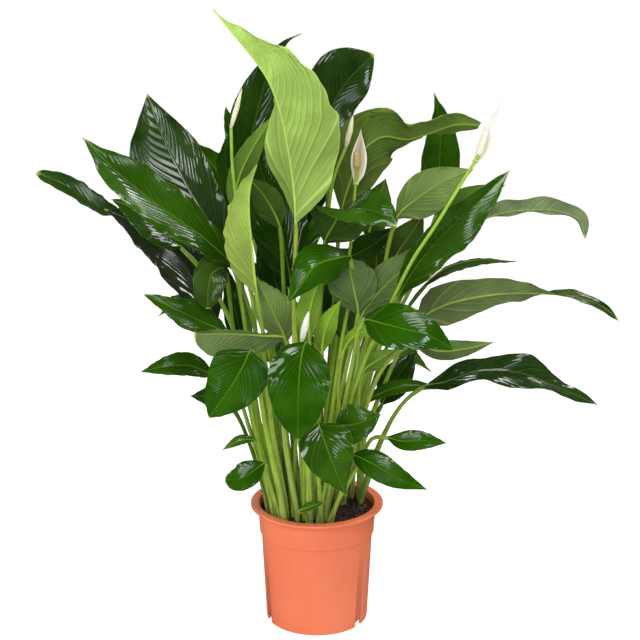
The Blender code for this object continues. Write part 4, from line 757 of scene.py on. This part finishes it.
def add_leaf(name, node, leaf, materials):
    """A leaf as one body. Its materials are those of its upper side, its underside and its stalk."""
    spine = leaf_spine(leaf)
    blade, blade_facts = blade_rings(leaf, spine)
    ring = blade.shape[1]
    columns = ring // 2
    stalk, stalk_facts = stalk_rings(leaf, spine, ring)
    rings = np.concatenate([stalk, blade])
    faces = ring_faces(len(rings), ring)
    # The veins swing forward, so a face's short diagonal leads back to the row's outer point. Each face
    # starts there, and both sides of the blade are split alike.
    outward = np.arange(len(faces)) % columns >= columns // 2
    faces = [face[1:] + face[:1] if out else face for face, out in zip(faces, outward)]
    slots = np.tile(np.where(np.arange(ring) < columns, 0, 1), len(rings))
    slots[:len(stalk) * ring] = 2
    piece = ringed_body(
        name, rings, np.concatenate([stalk_facts, blade_facts]), materials,
        (spine.points[-1], (0.0, 0.0, 1.0, 0.0)), faces, slots=[*slots, 2], sharp=LEAF_SHARP_EDGE,
    )
    stands_for(piece, node)


# Blooms


def tube_rings(points, tangents, radii, ring):
    """Round rings of the given radii along a line."""
    sides = sideways(points, tangents)
    return rings_around(points, sides, np.cross(sides, tangents), radii, ring)


def add_bloom_stalk(name, bloom, material):
    """A bloom's stalk. Gives back where its top is and the way that it points there."""
    foot, stalk, top = stalk_line(bloom.root, bloom.stem[:-1], bloom.stem[-1:])
    curve = smooth_curve(np.vstack([foot, stalk, top]))
    points, tangents = at_fractions(curve[SPAN_STEPS:], np.linspace(0, 1, BLOOM_STALK_RINGS))
    points = np.vstack([foot, points])
    tangents = np.vstack([[0.0, 0.0, 1.0], tangents])
    radii = np.append(BLOOM_STALK_FOOT, np.linspace(BLOOM_STALK_FOOT, BLOOM_STALK_TOP, BLOOM_STALK_RINGS))
    rings = tube_rings(points, tangents, radii[:, None], BLOOM_STALK_SIDES)
    share = np.linspace(0, 1, len(points))[:, None]
    facts = facts_at(np.arange(BLOOM_STALK_SIDES) / BLOOM_STALK_SIDES, share, share, 0.0)
    piece = ringed_body(name + "_stem", rings, facts, [material])
    stands_for(piece, name + "_stalk")
    return points[-1], tangents[-1]


def add_closed_spathe(name, bloom, top, heading, material):
    """A spathe that is still rolled up, with a lap that winds round it."""
    curve = smooth_curve([top + heading * TOUCHING_GAP, *sight_points(bloom.spathe)])
    shares = np.linspace(0, 1, BUD_RINGS, endpoint=False)
    points, tangents = at_fractions(curve, shares)
    tangents[0] = heading
    share = shares[:, None]
    turn = np.arange(BUD_SIDES) / BUD_SIDES
    lap = 1 + BUD_LAP * np.cos(math.tau * (turn - 0.9 * share)) ** 9
    radii = bloom.half * MM * np.sin(math.pi * (0.14 + 0.86 * share)) ** 0.7
    rings = tube_rings(points, tangents, radii * lap, BUD_SIDES)
    facts = facts_at(turn * 12, share, share, 0.0)
    piece = ringed_body(name + "_bud", rings, facts, [material], (curve[-1], (0.0, 1.0, 1.0, 0.0)))
    stands_for(piece, name + "_spathe")


def add_open_spathe(name, bloom, top, heading, material):
    """An open spathe: a sheet like a blade's, with fine ridges along it in place of veins."""
    curve = smooth_curve([top - heading * bloom.drop * MM, *sight_points(bloom.spathe)])
    shares = np.linspace(0, 1, SPINE_STEPS)
    points, tangents = at_fractions(curve, shares)
    sides = sideways(points, tangents, np.abs(shares - SPATHE_FACES_AT).argmin())
    spine = Spine(shares, points, tangents, sides, 1.0)
    leaf = Leaf(bloom.node, "dark", (0, 0), (), bloom.half, fold=bloom.fold, wide=0.45, taper=1.6)
    q = quills(bloom.half, SPATHE_COLUMNS)[None, :]
    s = (np.arange(SPATHE_ROWS) / SPATHE_ROWS)[:, None]
    sheet = blade_sheet(leaf, spine, s, q, SPATHE_FRILL)
    t, reach = sheet[2:]
    edge = np.abs(q) + 0 * s
    ridge = SPATHE_RIDGE * np.cos(math.tau * 4.5 * q) * smooth_step((1 - s) / 0.4)
    thick = half_thickness(edge)
    rings = sheet_rings(spine, s, sheet, ridge + thick, ridge - thick, SPATHE_FOOT)
    facts = facts_at(*map(there_and_back, (reach / MM, t * 10, t, edge)))
    piece = ringed_body(name + "_sheet", rings, facts, [material], (curve[-1], (0.0, 10.0, 1.0, 0.0)))
    stands_for(piece, name + "_spathe")


def add_spadix(name, bloom, top, heading, material):
    """The spadix, with rows of small florets that cross each other."""
    tip = sight_point(bloom.spadix)
    start = top + heading * TOUCHING_GAP
    shares = np.linspace(0, 0.985, SPADIX_RINGS)
    outline = SPADIX_RADIUS * np.interp(shares, *zip(*SPADIX_OUTLINE))
    points = start + (tip - start) * shares[:, None]
    turn = np.arange(SPADIX_SIDES) / SPADIX_SIDES
    climb = shares[:, None] * np.linalg.norm(tip - start) / FLORET_PITCH
    bump = np.abs(np.sin(math.pi * (5 * turn + climb)) * np.sin(math.pi * (5 * turn - climb)))
    axes = np.tile(unit(tip - start), (SPADIX_RINGS, 1))
    rings = tube_rings(points, axes, outline[:, None] * (0.93 + 0.13 * bump), SPADIX_SIDES)
    facts = facts_at(turn, climb, bump, bump)
    piece = ringed_body(
        name + "_florets", rings, facts, [material], (tip, (0.0, 0.0, 1.0, 1.0)), sharp=SPADIX_SHARP_EDGE
    )
    stands_for(piece, name + "_spadix")


def add_bloom(bloom, materials):
    name = "bloom_" + bloom.node
    top, heading = add_bloom_stalk(name, bloom, materials["bloom_stalk"])
    if not bloom.spadix:
        skin = "cream_spathe" if bloom.node in CREAM else "white_spathe"
        add_closed_spathe(name, bloom, top, heading, materials[skin])
        return
    fading = bloom.node in FADING
    add_spadix(name, bloom, top, heading, materials["cream_spadix" if fading else "pale_spadix"])
    add_open_spathe(name, bloom, top, heading, materials["fading_spathe" if fading else "white_spathe"])


# Pot and soil


def inner_radius(level):
    """The radius of the pot's inner wall at a level."""
    if level > COLLAR_BOTTOM:
        share = (level - COLLAR_BOTTOM) / (POT_HEIGHT - COLLAR_BOTTOM)
        return COLLAR_FOOT_RADIUS + (COLLAR_RADIUS - COLLAR_FOOT_RADIUS) * share - WALL
    share = (level - FLOOR_HEIGHT) / (COLLAR_BOTTOM - FLOOR_HEIGHT)
    return FOOT_RADIUS + (BODY_TOP_RADIUS - FOOT_RADIUS) * share - WALL


def rounded_profile(corners):
    """A profile of (radius, level, fillet) corners, with each corner rounded by its fillet."""
    points = []
    for i, (radius, level, fillet) in enumerate(corners):
        corner = np.array([radius, level])
        if not fillet:
            points.append(corner)
            continue
        back = unit(np.array(corners[i - 1][:2]) - corner)
        ahead = unit(np.array(corners[i + 1][:2]) - corner)
        for u in np.linspace(0, 1, FILLET_STEPS + 1):
            points.append(corner + fillet * (back * (1 - u) ** 2 + ahead * u ** 2))
    return points


def turned_body(name, profile, sides_count, material, sharp):
    """A closed body turned about +Z. The profile runs from the axis round to the axis."""
    angles = np.arange(sides_count) * math.tau / sides_count
    rings = [
        np.column_stack([r * np.cos(angles), r * np.sin(angles), np.full(sides_count, z)])
        for r, z in profile[1:-1]
    ]
    ends = [(0.0, 0.0, profile[0][1]), (0.0, 0.0, profile[-1][1])]
    after_rings = len(rings) * sides_count
    faces = ring_faces(len(rings), sides_count)
    faces += fan(0, sides_count, after_rings)
    faces += fan(after_rings - sides_count, sides_count, after_rings + 1)
    return closed_body(name, np.vstack([*rings, ends]), faces, [material], sharp=sharp)


def cut(piece, cutters):
    """Cuts the cutters away from a piece by a Boolean, applied, and removes them."""
    for cutter in cutters:
        modifier = piece.modifiers.new("cut", "BOOLEAN")
        modifier.operation = "DIFFERENCE"
        modifier.object = cutter
        modifier.solver = "EXACT"
        graph = bpy.context.evaluated_depsgraph_get()
        piece.data = bpy.data.meshes.new_from_object(piece.evaluated_get(graph))
        piece.modifiers.clear()
        bpy.data.objects.remove(cutter)


def notch_cutter(angle):
    """A block with rounded top edges, across the foot's wall at an angle."""
    block = bmesh.new()
    bmesh.ops.create_cube(block, size=1.0)
    bmesh.ops.scale(block, verts=block.verts, vec=(NOTCH_REACH, NOTCH_WIDTH, 2 * NOTCH_HEIGHT))
    top_edges = [
        edge for edge in block.edges
        if all(corner.co.z > 0 for corner in edge.verts)
        and abs(edge.verts[0].co.x - edge.verts[1].co.x) > NOTCH_REACH / 2
    ]
    bmesh.ops.bevel(block, geom=top_edges, offset=NOTCH_FILLET, segments=5, profile=0.5, affect="EDGES")
    bmesh.ops.translate(block, verts=block.verts, vec=(FOOT_RADIUS - FOOT_WALL / 2, 0.0, 0.0))
    turn = Matrix.Rotation(math.radians(angle), 3, "Z")
    bmesh.ops.rotate(block, verts=block.verts, cent=(0.0, 0.0, 0.0), matrix=turn)
    mesh = bpy.data.meshes.new("notch")
    block.to_mesh(mesh)
    block.free()
    return in_scene("notch", mesh)


def add_pot(material):
    lip = POT_HEIGHT - RIM_THICKNESS
    corners = [
        (0.0, 0.0, 0),
        (WELL_RADIUS, 0.0, 0.0008),
        (WELL_RADIUS + WELL_DRAFT, FLOOR_HEIGHT - WALL, 0.0008),
        (FOOT_RADIUS - FOOT_WALL, FLOOR_HEIGHT - WALL, 0.0008),
        (FOOT_RADIUS - FOOT_WALL, 0.0, 0.0004),
        (FOOT_RADIUS, 0.0, 0.0006),
        (BODY_TOP_RADIUS, COLLAR_BOTTOM - COLLAR_STEP, 0.0005),
        (COLLAR_FOOT_RADIUS, COLLAR_BOTTOM, 0.0009),
        (COLLAR_RADIUS, lip, 0.0010),
        (RIM_RADIUS - RIM_DRAFT, lip, 0.0012),
        (RIM_RADIUS, POT_HEIGHT, 0.0018),
        (inner_radius(POT_HEIGHT), POT_HEIGHT, 0.0016),
        (inner_radius(COLLAR_BOTTOM + COLLAR_STEP), COLLAR_BOTTOM + COLLAR_STEP, 0.0005),
        (inner_radius(COLLAR_BOTTOM), COLLAR_BOTTOM, 0.0005),
        (inner_radius(FLOOR_HEIGHT), FLOOR_HEIGHT, 0.0010),
        (WELL_RADIUS + WELL_DRAFT - WALL, FLOOR_HEIGHT, 0.0006),
        (WELL_RADIUS - WALL, WALL, 0.0006),
        (0.0, WALL, 0),
    ]
    pot = turned_body("pot_shell", rounded_profile(corners), POT_SIDES, material, POT_SHARP_EDGE)
    cut(pot, [notch_cutter(angle) for angle in NOTCH_ANGLES])
    stands_for(pot, "pot")


def lumpy(x, y):
    """The soil's height above its mean level: broad mounds, small clods and grains."""
    broad, clods, grains = (
        noise.noise(Vector((x * per_metre, y * per_metre, layer))) for per_metre, layer in SOIL_NOISE
    )
    return MOUND * broad + CLOD * (abs(clods) - 0.25) + GRAIN * grains


def add_soil(material):
    low = FLOOR_HEIGHT + SOIL_GAP
    outline = [
        (0.0, WALL + SOIL_GAP),
        (WELL_RADIUS - WALL - SOIL_GAP, WALL + SOIL_GAP),
        (WELL_RADIUS + WELL_DRAFT - WALL - SOIL_GAP, low),
    ]
    for level in (low, COLLAR_BOTTOM - SOIL_BEND, SOIL_TOP - SOIL_BEND):
        outline.append((inner_radius(level) - 2 * SOIL_GAP, level))
    widest = inner_radius(SOIL_TOP) - 3 * SOIL_GAP
    outline += [(radius, SOIL_TOP) for radius in np.linspace(widest, 3 * MM, SOIL_RINGS)]
    outline.append((0.0, SOIL_TOP))
    soil = turned_body("soil_bed", outline, SOIL_SIDES, material, SOIL_SHARP_EDGE)
    for vertex in soil.data.vertices:
        if vertex.co.z > SOIL_TOP - 0.1 * MM:
            vertex.co.z += lumpy(vertex.co.x, vertex.co.y)
    stands_for(soil, "soil")


def add_lumps(name, material, count, sizes, stretch, draw, clear):
    """Small uneven lumps on the soil as one piece, each turned its own way and clear of the stalks."""
    lumps = bmesh.new()
    for _ in range(count):
        for _ in range(TRIES):
            reach = math.sqrt(draw.random()) * (inner_radius(SOIL_TOP) - LUMPS_OFF_WALL)
            angle = draw.uniform(0, math.tau)
            x, y = reach * math.cos(angle), reach * math.sin(angle)
            if all(math.hypot(x - spot[0], y - spot[1]) > spot[2] for spot in clear):
                break
        size = draw.uniform(*sizes)
        scales = [size * draw.uniform(*LUMP_SIDES) for _ in range(3)]
        scales[0] *= draw.uniform(*stretch)
        made = bmesh.ops.create_icosphere(lumps, subdivisions=2, radius=1.0)["verts"]
        for vertex in made:
            own_place = Vector((reach * 900, angle, size * 5000))
            vertex.co *= 1 + LUMP_DENTS * noise.noise(vertex.co * 1.7 + own_place)
        turn = Matrix.Rotation(draw.uniform(0, math.tau), 4, "Z")
        turn = turn @ Matrix.Rotation(draw.uniform(-LUMP_TILT, LUMP_TILT), 4, "Y")
        rest = Matrix.Translation((x, y, SOIL_TOP + lumpy(x, y) + 0.25 * size))
        bmesh.ops.transform(lumps, matrix=rest @ turn @ Matrix.Diagonal((*scales, 1.0)), verts=made)
    mesh = bpy.data.meshes.new(name)
    lumps.to_mesh(mesh)
    lumps.free()
    mesh.materials.append(material)
    mesh.shade_smooth()
    piece = in_scene(name, mesh)
    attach(piece, "root")


# Roots, as in the part


def shoot_girth(plants):
    """The radius in millimetres of a shoot of one plant or two at the soil."""
    widest = max(plant.girth if isinstance(plant, Leaf) else BLOOM_STALK_FOOT / MM for plant in plants)
    return widest + (SHOOT_OFFSET if len(plants) > 1 else 0.0)


def spread_roots(shoots):
    """Each shoot's root, moved until neighbours leave ROOT_GAP of soil between their holes."""
    names = list(shoots)
    roots = np.array([shoots[name][0].root for name in names], float)
    radii = [shoot_girth(shoots[name]) for name in names]
    for _ in range(SPREAD_ROUNDS):
        for i in range(len(roots)):
            for j in range(i):
                away = roots[i] - roots[j]
                distance = np.linalg.norm(away)
                wanted = radii[i] + radii[j] + ROOT_GAP
                if distance < wanted:
                    push = away / distance * (wanted - distance) / 2
                    roots[i] += push
                    roots[j] -= push
        away = roots - BARE_SPOT
        distance = np.linalg.norm(away, axis=1, keepdims=True)
        roots = BARE_SPOT + away * np.maximum(1.0, BARE_REACH / distance)
        reach = np.linalg.norm(roots, axis=1, keepdims=True)
        roots *= np.minimum(1.0, ROOT_REACH / np.maximum(reach, 1e-9))
    placed_shoots = {}
    for name, root in zip(names, roots):
        plants = shoots[name]
        offset = SHOOT_OFFSET if len(plants) > 1 else 0.0
        placed_shoots[name] = [
            plant._replace(root=(
                root[0] + offset * math.cos(math.pi * k + SHOOT_TURN),
                root[1] + offset * math.sin(math.pi * k + SHOOT_TURN),
            ))
            for k, plant in enumerate(plants)
        ]
    return placed_shoots


# Materials


class Graph:
    """A material's or a world's nodes, with short calls for the kinds that are used here."""

    def __init__(self, owner):
        owner.use_nodes = True
        self.tree = owner.node_tree

    def node(self, kind, inputs=None, **settings):
        made = self.tree.nodes.new("ShaderNode" + kind)
        for key, value in settings.items():
            setattr(made, key, value)
        for key, value in (inputs or {}).items():
            self.put(made.inputs[key], value)
        return made.outputs

    def put(self, socket, value):
        if isinstance(value, bpy.types.NodeSocket):
            self.tree.links.new(value, socket)
        elif isinstance(value, tuple) and len(value) == 3 and socket.type == "RGBA":
            socket.default_value = (*value, 1.0)
        else:
            socket.default_value = value

    def math(self, operation, a, b=0.0):
        return self.node("Math", {0: a, 1: b}, operation=operation)[0]

    def times(self, a, b):
        return self.math("MULTIPLY", a, b)

    def add(self, a, b):
        return self.math("ADD", a, b)

    def step(self, value, low, high, start=0.0, end=1.0):
        """From start at low to end at high, smoothly."""
        inputs = {0: value, 1: low, 2: high, 3: start, 4: end}
        return self.node("MapRange", inputs, interpolation_type="SMOOTHSTEP")[0]

    def layers(self, base, *coats):
        """A colour under coats, each given as (share, colour)."""
        for share, colour in coats:
            base = self.node("Mix", {0: share, 6: base, 7: colour}, data_type="RGBA")[2]
        return base

    def grain(self, place, scale, detail=3.0):
        return self.node("TexNoise", {"Vector": place, "Scale": scale, "Detail": detail})[0]

    def fact(self, name):
        return self.node("Attribute", attribute_name=name)["Fac"]

    def place(self):
        return self.node("TexCoord")["Object"]

    def veins(self):
        return self.node("SeparateXYZ", {0: self.node("UVMap", uv_map="veins")[0]})

    def near_line(self, phase):
        """1 where the phase is a whole number, and 0 half way between."""
        from_half = self.math("SUBTRACT", self.math("FRACT", phase), 0.5)
        return self.times(self.math("ABSOLUTE", from_half), 2.0)

    def bump(self, height, distance, strength=0.6):
        return self.node("Bump", {"Height": height, "Distance": distance, "Strength": strength})[0]


def new_material(name):
    material = bpy.data.materials.new(name)
    graph = Graph(material)
    shader = graph.tree.nodes["Principled BSDF"]
    return material, graph, lambda key, value: graph.put(shader.inputs[key], value)


def mixed(a, b, share):
    return tuple(x + (y - x) * share for x, y in zip(a, b))


def leaf_side(name, colour, vein_colour, rough, shine, vein_share, rib_share):
    """A leaf's upper side or underside: mottled green, paler midrib and veins, fine lines between them, with
    painted shade beside the veins and towards the neck.
    """
    material, graph, put = new_material(name)
    place = graph.place()
    u, v, _ = graph.veins()
    along = graph.fact("along")
    calm = graph.step(along, 0.62, 0.90, 1.0, 0.0)
    vein = graph.times(graph.step(graph.near_line(u), 0.80, 0.98), calm)
    # beside marks a band along each vein that is painted shade, where the relief's hollow would be shaded.
    beside = graph.times(graph.step(graph.near_line(graph.add(u, 0.16)), 0.55, 0.95), calm)
    fine = graph.times(graph.step(graph.near_line(graph.times(u, 5.0)), 0.35, 0.95), calm)
    patches = graph.grain(place, 22.0)
    marks = graph.step(graph.grain(place, 70.0, 5.0), 0.60, 0.68)
    speckle = graph.grain(place, 260.0, 2.0)
    dark = mixed(colour, BLACK, 0.45)
    off_rib = graph.times(graph.step(graph.math("ABSOLUTE", v), 0.5, 1.6), -1.0)
    rib = graph.times(graph.add(off_rib, 1.0), graph.step(along, 0.0, 0.9, 0.95, 0.4))
    put("Base Color", graph.layers(
        mixed(colour, BLACK, 0.26),
        (graph.step(patches, 0.34, 0.66), mixed(colour, vein_colour, 0.14)),
        # painted shade: darker towards the neck, where the blade sits inside the clump
        (graph.step(along, 0.0, 0.65, 0.85, 0.0), mixed(colour, BLACK, 0.5)),
        (graph.step(speckle, 0.42, 0.62, 0.0, 0.14), dark),
        (graph.times(marks, 0.22), dark),
        (graph.times(fine, 0.10), vein_colour),
        # painted shade in the hollow beside each vein
        (graph.times(beside, 0.5), dark),
        (graph.times(vein, vein_share), vein_colour),
        (graph.step(graph.fact("edge"), 0.975, 1.0, 0.0, 0.55), vein_colour),
        (rib, mixed(vein_colour, RIB_GREEN, rib_share)),
        (graph.step(along, 0.965, 0.998), DRY_TIP),
    ))
    put("Roughness", graph.step(patches, 0.3, 0.7, rough - 0.03, rough + 0.06))
    put("Coat Weight", graph.step(graph.grain(place, 13.0, 2.0), 0.44, 0.60, *shine))
    put("Coat Roughness", 0.06)
    put("Specular IOR Level", 0.06)
    height = graph.add(graph.times(fine, 0.35), graph.times(speckle, 0.65))
    put("Normal", graph.bump(graph.times(height, calm), 0.00014))
    return material


def stalk_material(name, colour):
    """A stalk: pale at its foot, greener above, with fine lines along it."""
    material, graph, put = new_material(name)
    along = graph.fact("along")
    lines = graph.node("CombineXYZ", {0: graph.times(graph.veins()[0], 22.0), 1: graph.times(along, 4.0)})[0]
    streak = graph.grain(lines, 1.0, 2.0)
    patches = graph.grain(graph.place(), 45.0)
    put("Base Color", graph.layers(
        mixed(colour, (0.50, 0.56, 0.26), 0.45),
        (graph.step(along, -1.0, -0.6), colour),
        (graph.step(along, -0.5, 0.0, 0.0, 0.5), mixed(colour, (0.02, 0.09, 0.01), 0.6)),
        (graph.step(streak, 0.42, 0.56, 0.0, 0.7), mixed(colour, (0.02, 0.06, 0.005), 0.7)),
        (graph.step(patches, 0.45, 0.7, 0.0, 0.4), mixed(colour, (0.02, 0.05, 0.01), 0.7)),
    ))
    put("Roughness", graph.step(patches, 0.3, 0.7, 0.26, 0.40))
    put("Normal", graph.bump(streak, 0.0004))
    return material


def spathe_material(name, middle, lines_colour, margin):
    """A spathe: fine lines along it, a green foot and tip, and a paler margin."""
    material, graph, put = new_material(name)
    along = graph.fact("along")
    lines = graph.step(graph.near_line(graph.times(graph.veins()[0], 0.45)), 0.4, 0.95)
    put("Base Color", graph.layers(
        middle,
        (graph.times(lines, 0.4), lines_colour),
        (graph.step(along, 0.0, 0.20, 0.75, 0.0), (0.42, 0.58, 0.16)),
        (graph.step(along, 0.90, 1.0, 0.0, 0.5), (0.50, 0.60, 0.24)),
        (graph.step(graph.fact("edge"), 0.6, 0.92, 0.0, 0.9), margin),
    ))
    put("Roughness", graph.step(graph.grain(graph.place(), 60.0), 0.3, 0.7, 0.40, 0.52))
    put("Normal", graph.bump(lines, 0.0002))
    return material


def spadix_material(name, shaded_hollow, floret):
    material, graph, put = new_material(name)
    mottle = graph.grain(graph.place(), 500.0)
    # painted shade: the hollow colour lies between the florets and is darker than their tops
    put("Base Color", graph.layers(
        shaded_hollow,
        (graph.step(graph.fact("edge"), 0.1, 0.8), floret),
        (graph.step(mottle, 0.5, 0.7, 0.0, 0.4), mixed(shaded_hollow, floret, 0.5)),
    ))
    put("Roughness", graph.step(mottle, 0.3, 0.7, 0.6, 0.75))
    put("Normal", graph.bump(mottle, 0.0002))
    return material


def pot_material():
    """Moulded plastic: a satin skin with fine grain, faint scuffs and a little dust."""
    material, graph, put = new_material("moulded_terracotta_plastic")
    place = graph.place()
    broad = graph.grain(place, 9.0)
    fine = graph.grain(place, 1400.0, 2.0)
    upright = graph.node("Mapping", {"Vector": place, "Scale": (90.0, 90.0, 14.0)})[0]
    scuff = graph.times(graph.step(graph.grain(upright, 1.0, 6.0), 0.62, 0.74), 0.12)
    put("Base Color", graph.layers(
        (0.89, 0.205, 0.092),
        (graph.step(broad, 0.35, 0.65), (0.93, 0.238, 0.110)),
        (scuff, (0.88, 0.36, 0.20)),
        (graph.step(fine, 0.45, 0.7, 0.0, 0.2), (0.82, 0.165, 0.066)),
    ))
    put("Roughness", graph.add(graph.step(broad, 0.3, 0.7, 0.36, 0.44), scuff))
    put("Normal", graph.bump(fine, 0.00012, 0.5))
    return material


def soil_material(name, dark, light, share):
    material, graph, put = new_material(name)
    place = graph.place()
    clods = graph.grain(place, 160.0, 5.0)
    flecks = graph.grain(place, 700.0, 2.0)
    put("Base Color", graph.layers(
        dark,
        (graph.step(clods, 0.38, 0.66), light),
        (graph.step(flecks, 0.62, 0.72, 0.0, share), (0.32, 0.20, 0.10)),
    ))
    put("Roughness", graph.step(clods, 0.3, 0.7, 0.85, 1.0))
    put("Normal", graph.bump(graph.add(clods, flecks), 0.0012))
    return material


def floor_material():
    """A white sheet, lit evenly to the horizon: the viewer sees only part of the shade on it."""
    material, graph, put = new_material("studio_floor")
    mottle = graph.grain(graph.place(), 3.0)
    put("Base Color", graph.layers((0.78, 0.78, 0.78), (mottle, (0.80, 0.80, 0.80))))
    put("Roughness", 0.9)
    nodes = graph.tree.nodes
    rays = graph.node("LightPath")
    glow, dim = (graph.node("Emission", {"Color": WHITE, "Strength": power})[0] for power in FLOOR_GLOW)
    share = graph.times(rays["Is Camera Ray"], 0.60)
    seen = graph.node("MixShader", {0: share, 1: nodes["Principled BSDF"].outputs[0], 2: glow})[0]
    surface = graph.node("MixShader", {0: rays["Is Glossy Ray"], 1: seen, 2: dim})[0]
    graph.put(nodes["Material Output"].inputs[0], surface)
    return material


# Studio


def add_floor():
    floor = bpy.data.meshes.new("studio_floor")
    corners = [(-1, -1), (1, -1), (1, 1), (-1, 1)]
    floor.from_pydata([(x * FLOOR_REACH, y * FLOOR_REACH, 0) for x, y in corners], [], [(0, 1, 2, 3)])
    floor.materials.append(floor_material())
    sheet = in_scene("studio_floor", floor)


def add_lamp(name, around, up, distance, width, height, power):
    """A soft rectangular lamp that faces the plant."""
    data = bpy.data.lights.new(name, "AREA")
    data.shape = "RECTANGLE"
    data.size, data.size_y = width, height
    data.energy = power
    lamp = in_scene(name, data)
    around, up = math.radians(around), math.radians(up)
    heading = Vector((math.sin(around) * math.cos(up), -math.cos(around) * math.cos(up), math.sin(up)))
    lamp.location = Vector(LAMP_AIM) + heading * distance
    lamp.rotation_euler = (-heading).to_track_quat("-Z", "Y").to_euler()


def add_world():
    """A white backdrop that lights the plant faintly and shows less in what is glossy."""
    world = bpy.data.worlds.new("studio")
    bpy.context.scene.world = world
    graph = Graph(world)
    backdrop = graph.tree.nodes["Background"]
    rays = graph.node("LightPath")
    around = graph.step(rays["Is Glossy Ray"], 0.0, 1.0, *WORLD_LIGHT)
    graph.put(backdrop.inputs["Color"], WHITE)
    graph.put(backdrop.inputs["Strength"], graph.math("MAXIMUM", rays["Is Camera Ray"], around))


def add_camera():
    data = bpy.data.cameras.new("camera")
    data.sensor_width = SENSOR_WIDTH
    data.lens = SENSOR_WIDTH * FOCAL_LENGTH / PICTURE_SIZE
    data.clip_end = 200.0
    camera = in_scene("camera", data)
    camera.location = EYE
    camera.rotation_euler = (math.radians(90) - EYE_PITCH, 0.0, 0.0)
    bpy.context.scene.camera = camera


def leaf_materials(name, tone):
    """The materials of a tone's upper side, underside and stalk."""
    under_vein = mixed(tone.vein, tone.under, 0.2)
    return [
        leaf_side(name + "_upper", tone.upper, tone.vein, ROUGH_UPPER, tone.shine, 0.32, 0.12),
        leaf_side(name + "_under", tone.under, under_vein, ROUGH_UNDER, (0.0, 0.05), 0.45, 0.40),
        stalk_material(name + "_stalk", tone.stalk),
    ]


def main():
    shoots = {}
    for plant in LEAVES + BLOOMS:
        shoots.setdefault(plant.node, []).append(plant)
    shoots = spread_roots(shoots)
    greens = {name: leaf_materials(name, tone) for name, tone in TONES.items()}
    others = {"bloom_stalk": stalk_material("bloom_stalk_green", BLOOM_STALK_GREEN)}
    for make, looks in ((spathe_material, SPATHES), (spadix_material, SPADICES), (soil_material, EARTHS)):
        others.update({name: make(name, *look) for name, look in looks.items()})
    for node, plants in shoots.items():
        if isinstance(plants[0], Bloom):
            add_bloom(plants[0], others)
            continue
        for letter, leaf in zip("ab", plants):
            add_leaf(f"leaf_{node}_{letter}", "leaf_" + node, leaf, greens[leaf.tone])
    add_pot(pot_material())
    add_soil(others["peat"])
    draw = random.Random(11)
    clear = [
        (*(np.mean([plant.root for plant in plants], axis=0) * MM), shoot_girth(plants) * MM)
        for plants in shoots.values()
    ]
    for name, material, *numbers in LUMPS:
        add_lumps(name, others[material], *numbers, draw, clear)
    add_floor()
    add_world()
    for lamp in LAMPS:
        add_lamp(*lamp)
    add_camera()
    bpy.context.scene.view_settings.view_transform = "Standard"


main()
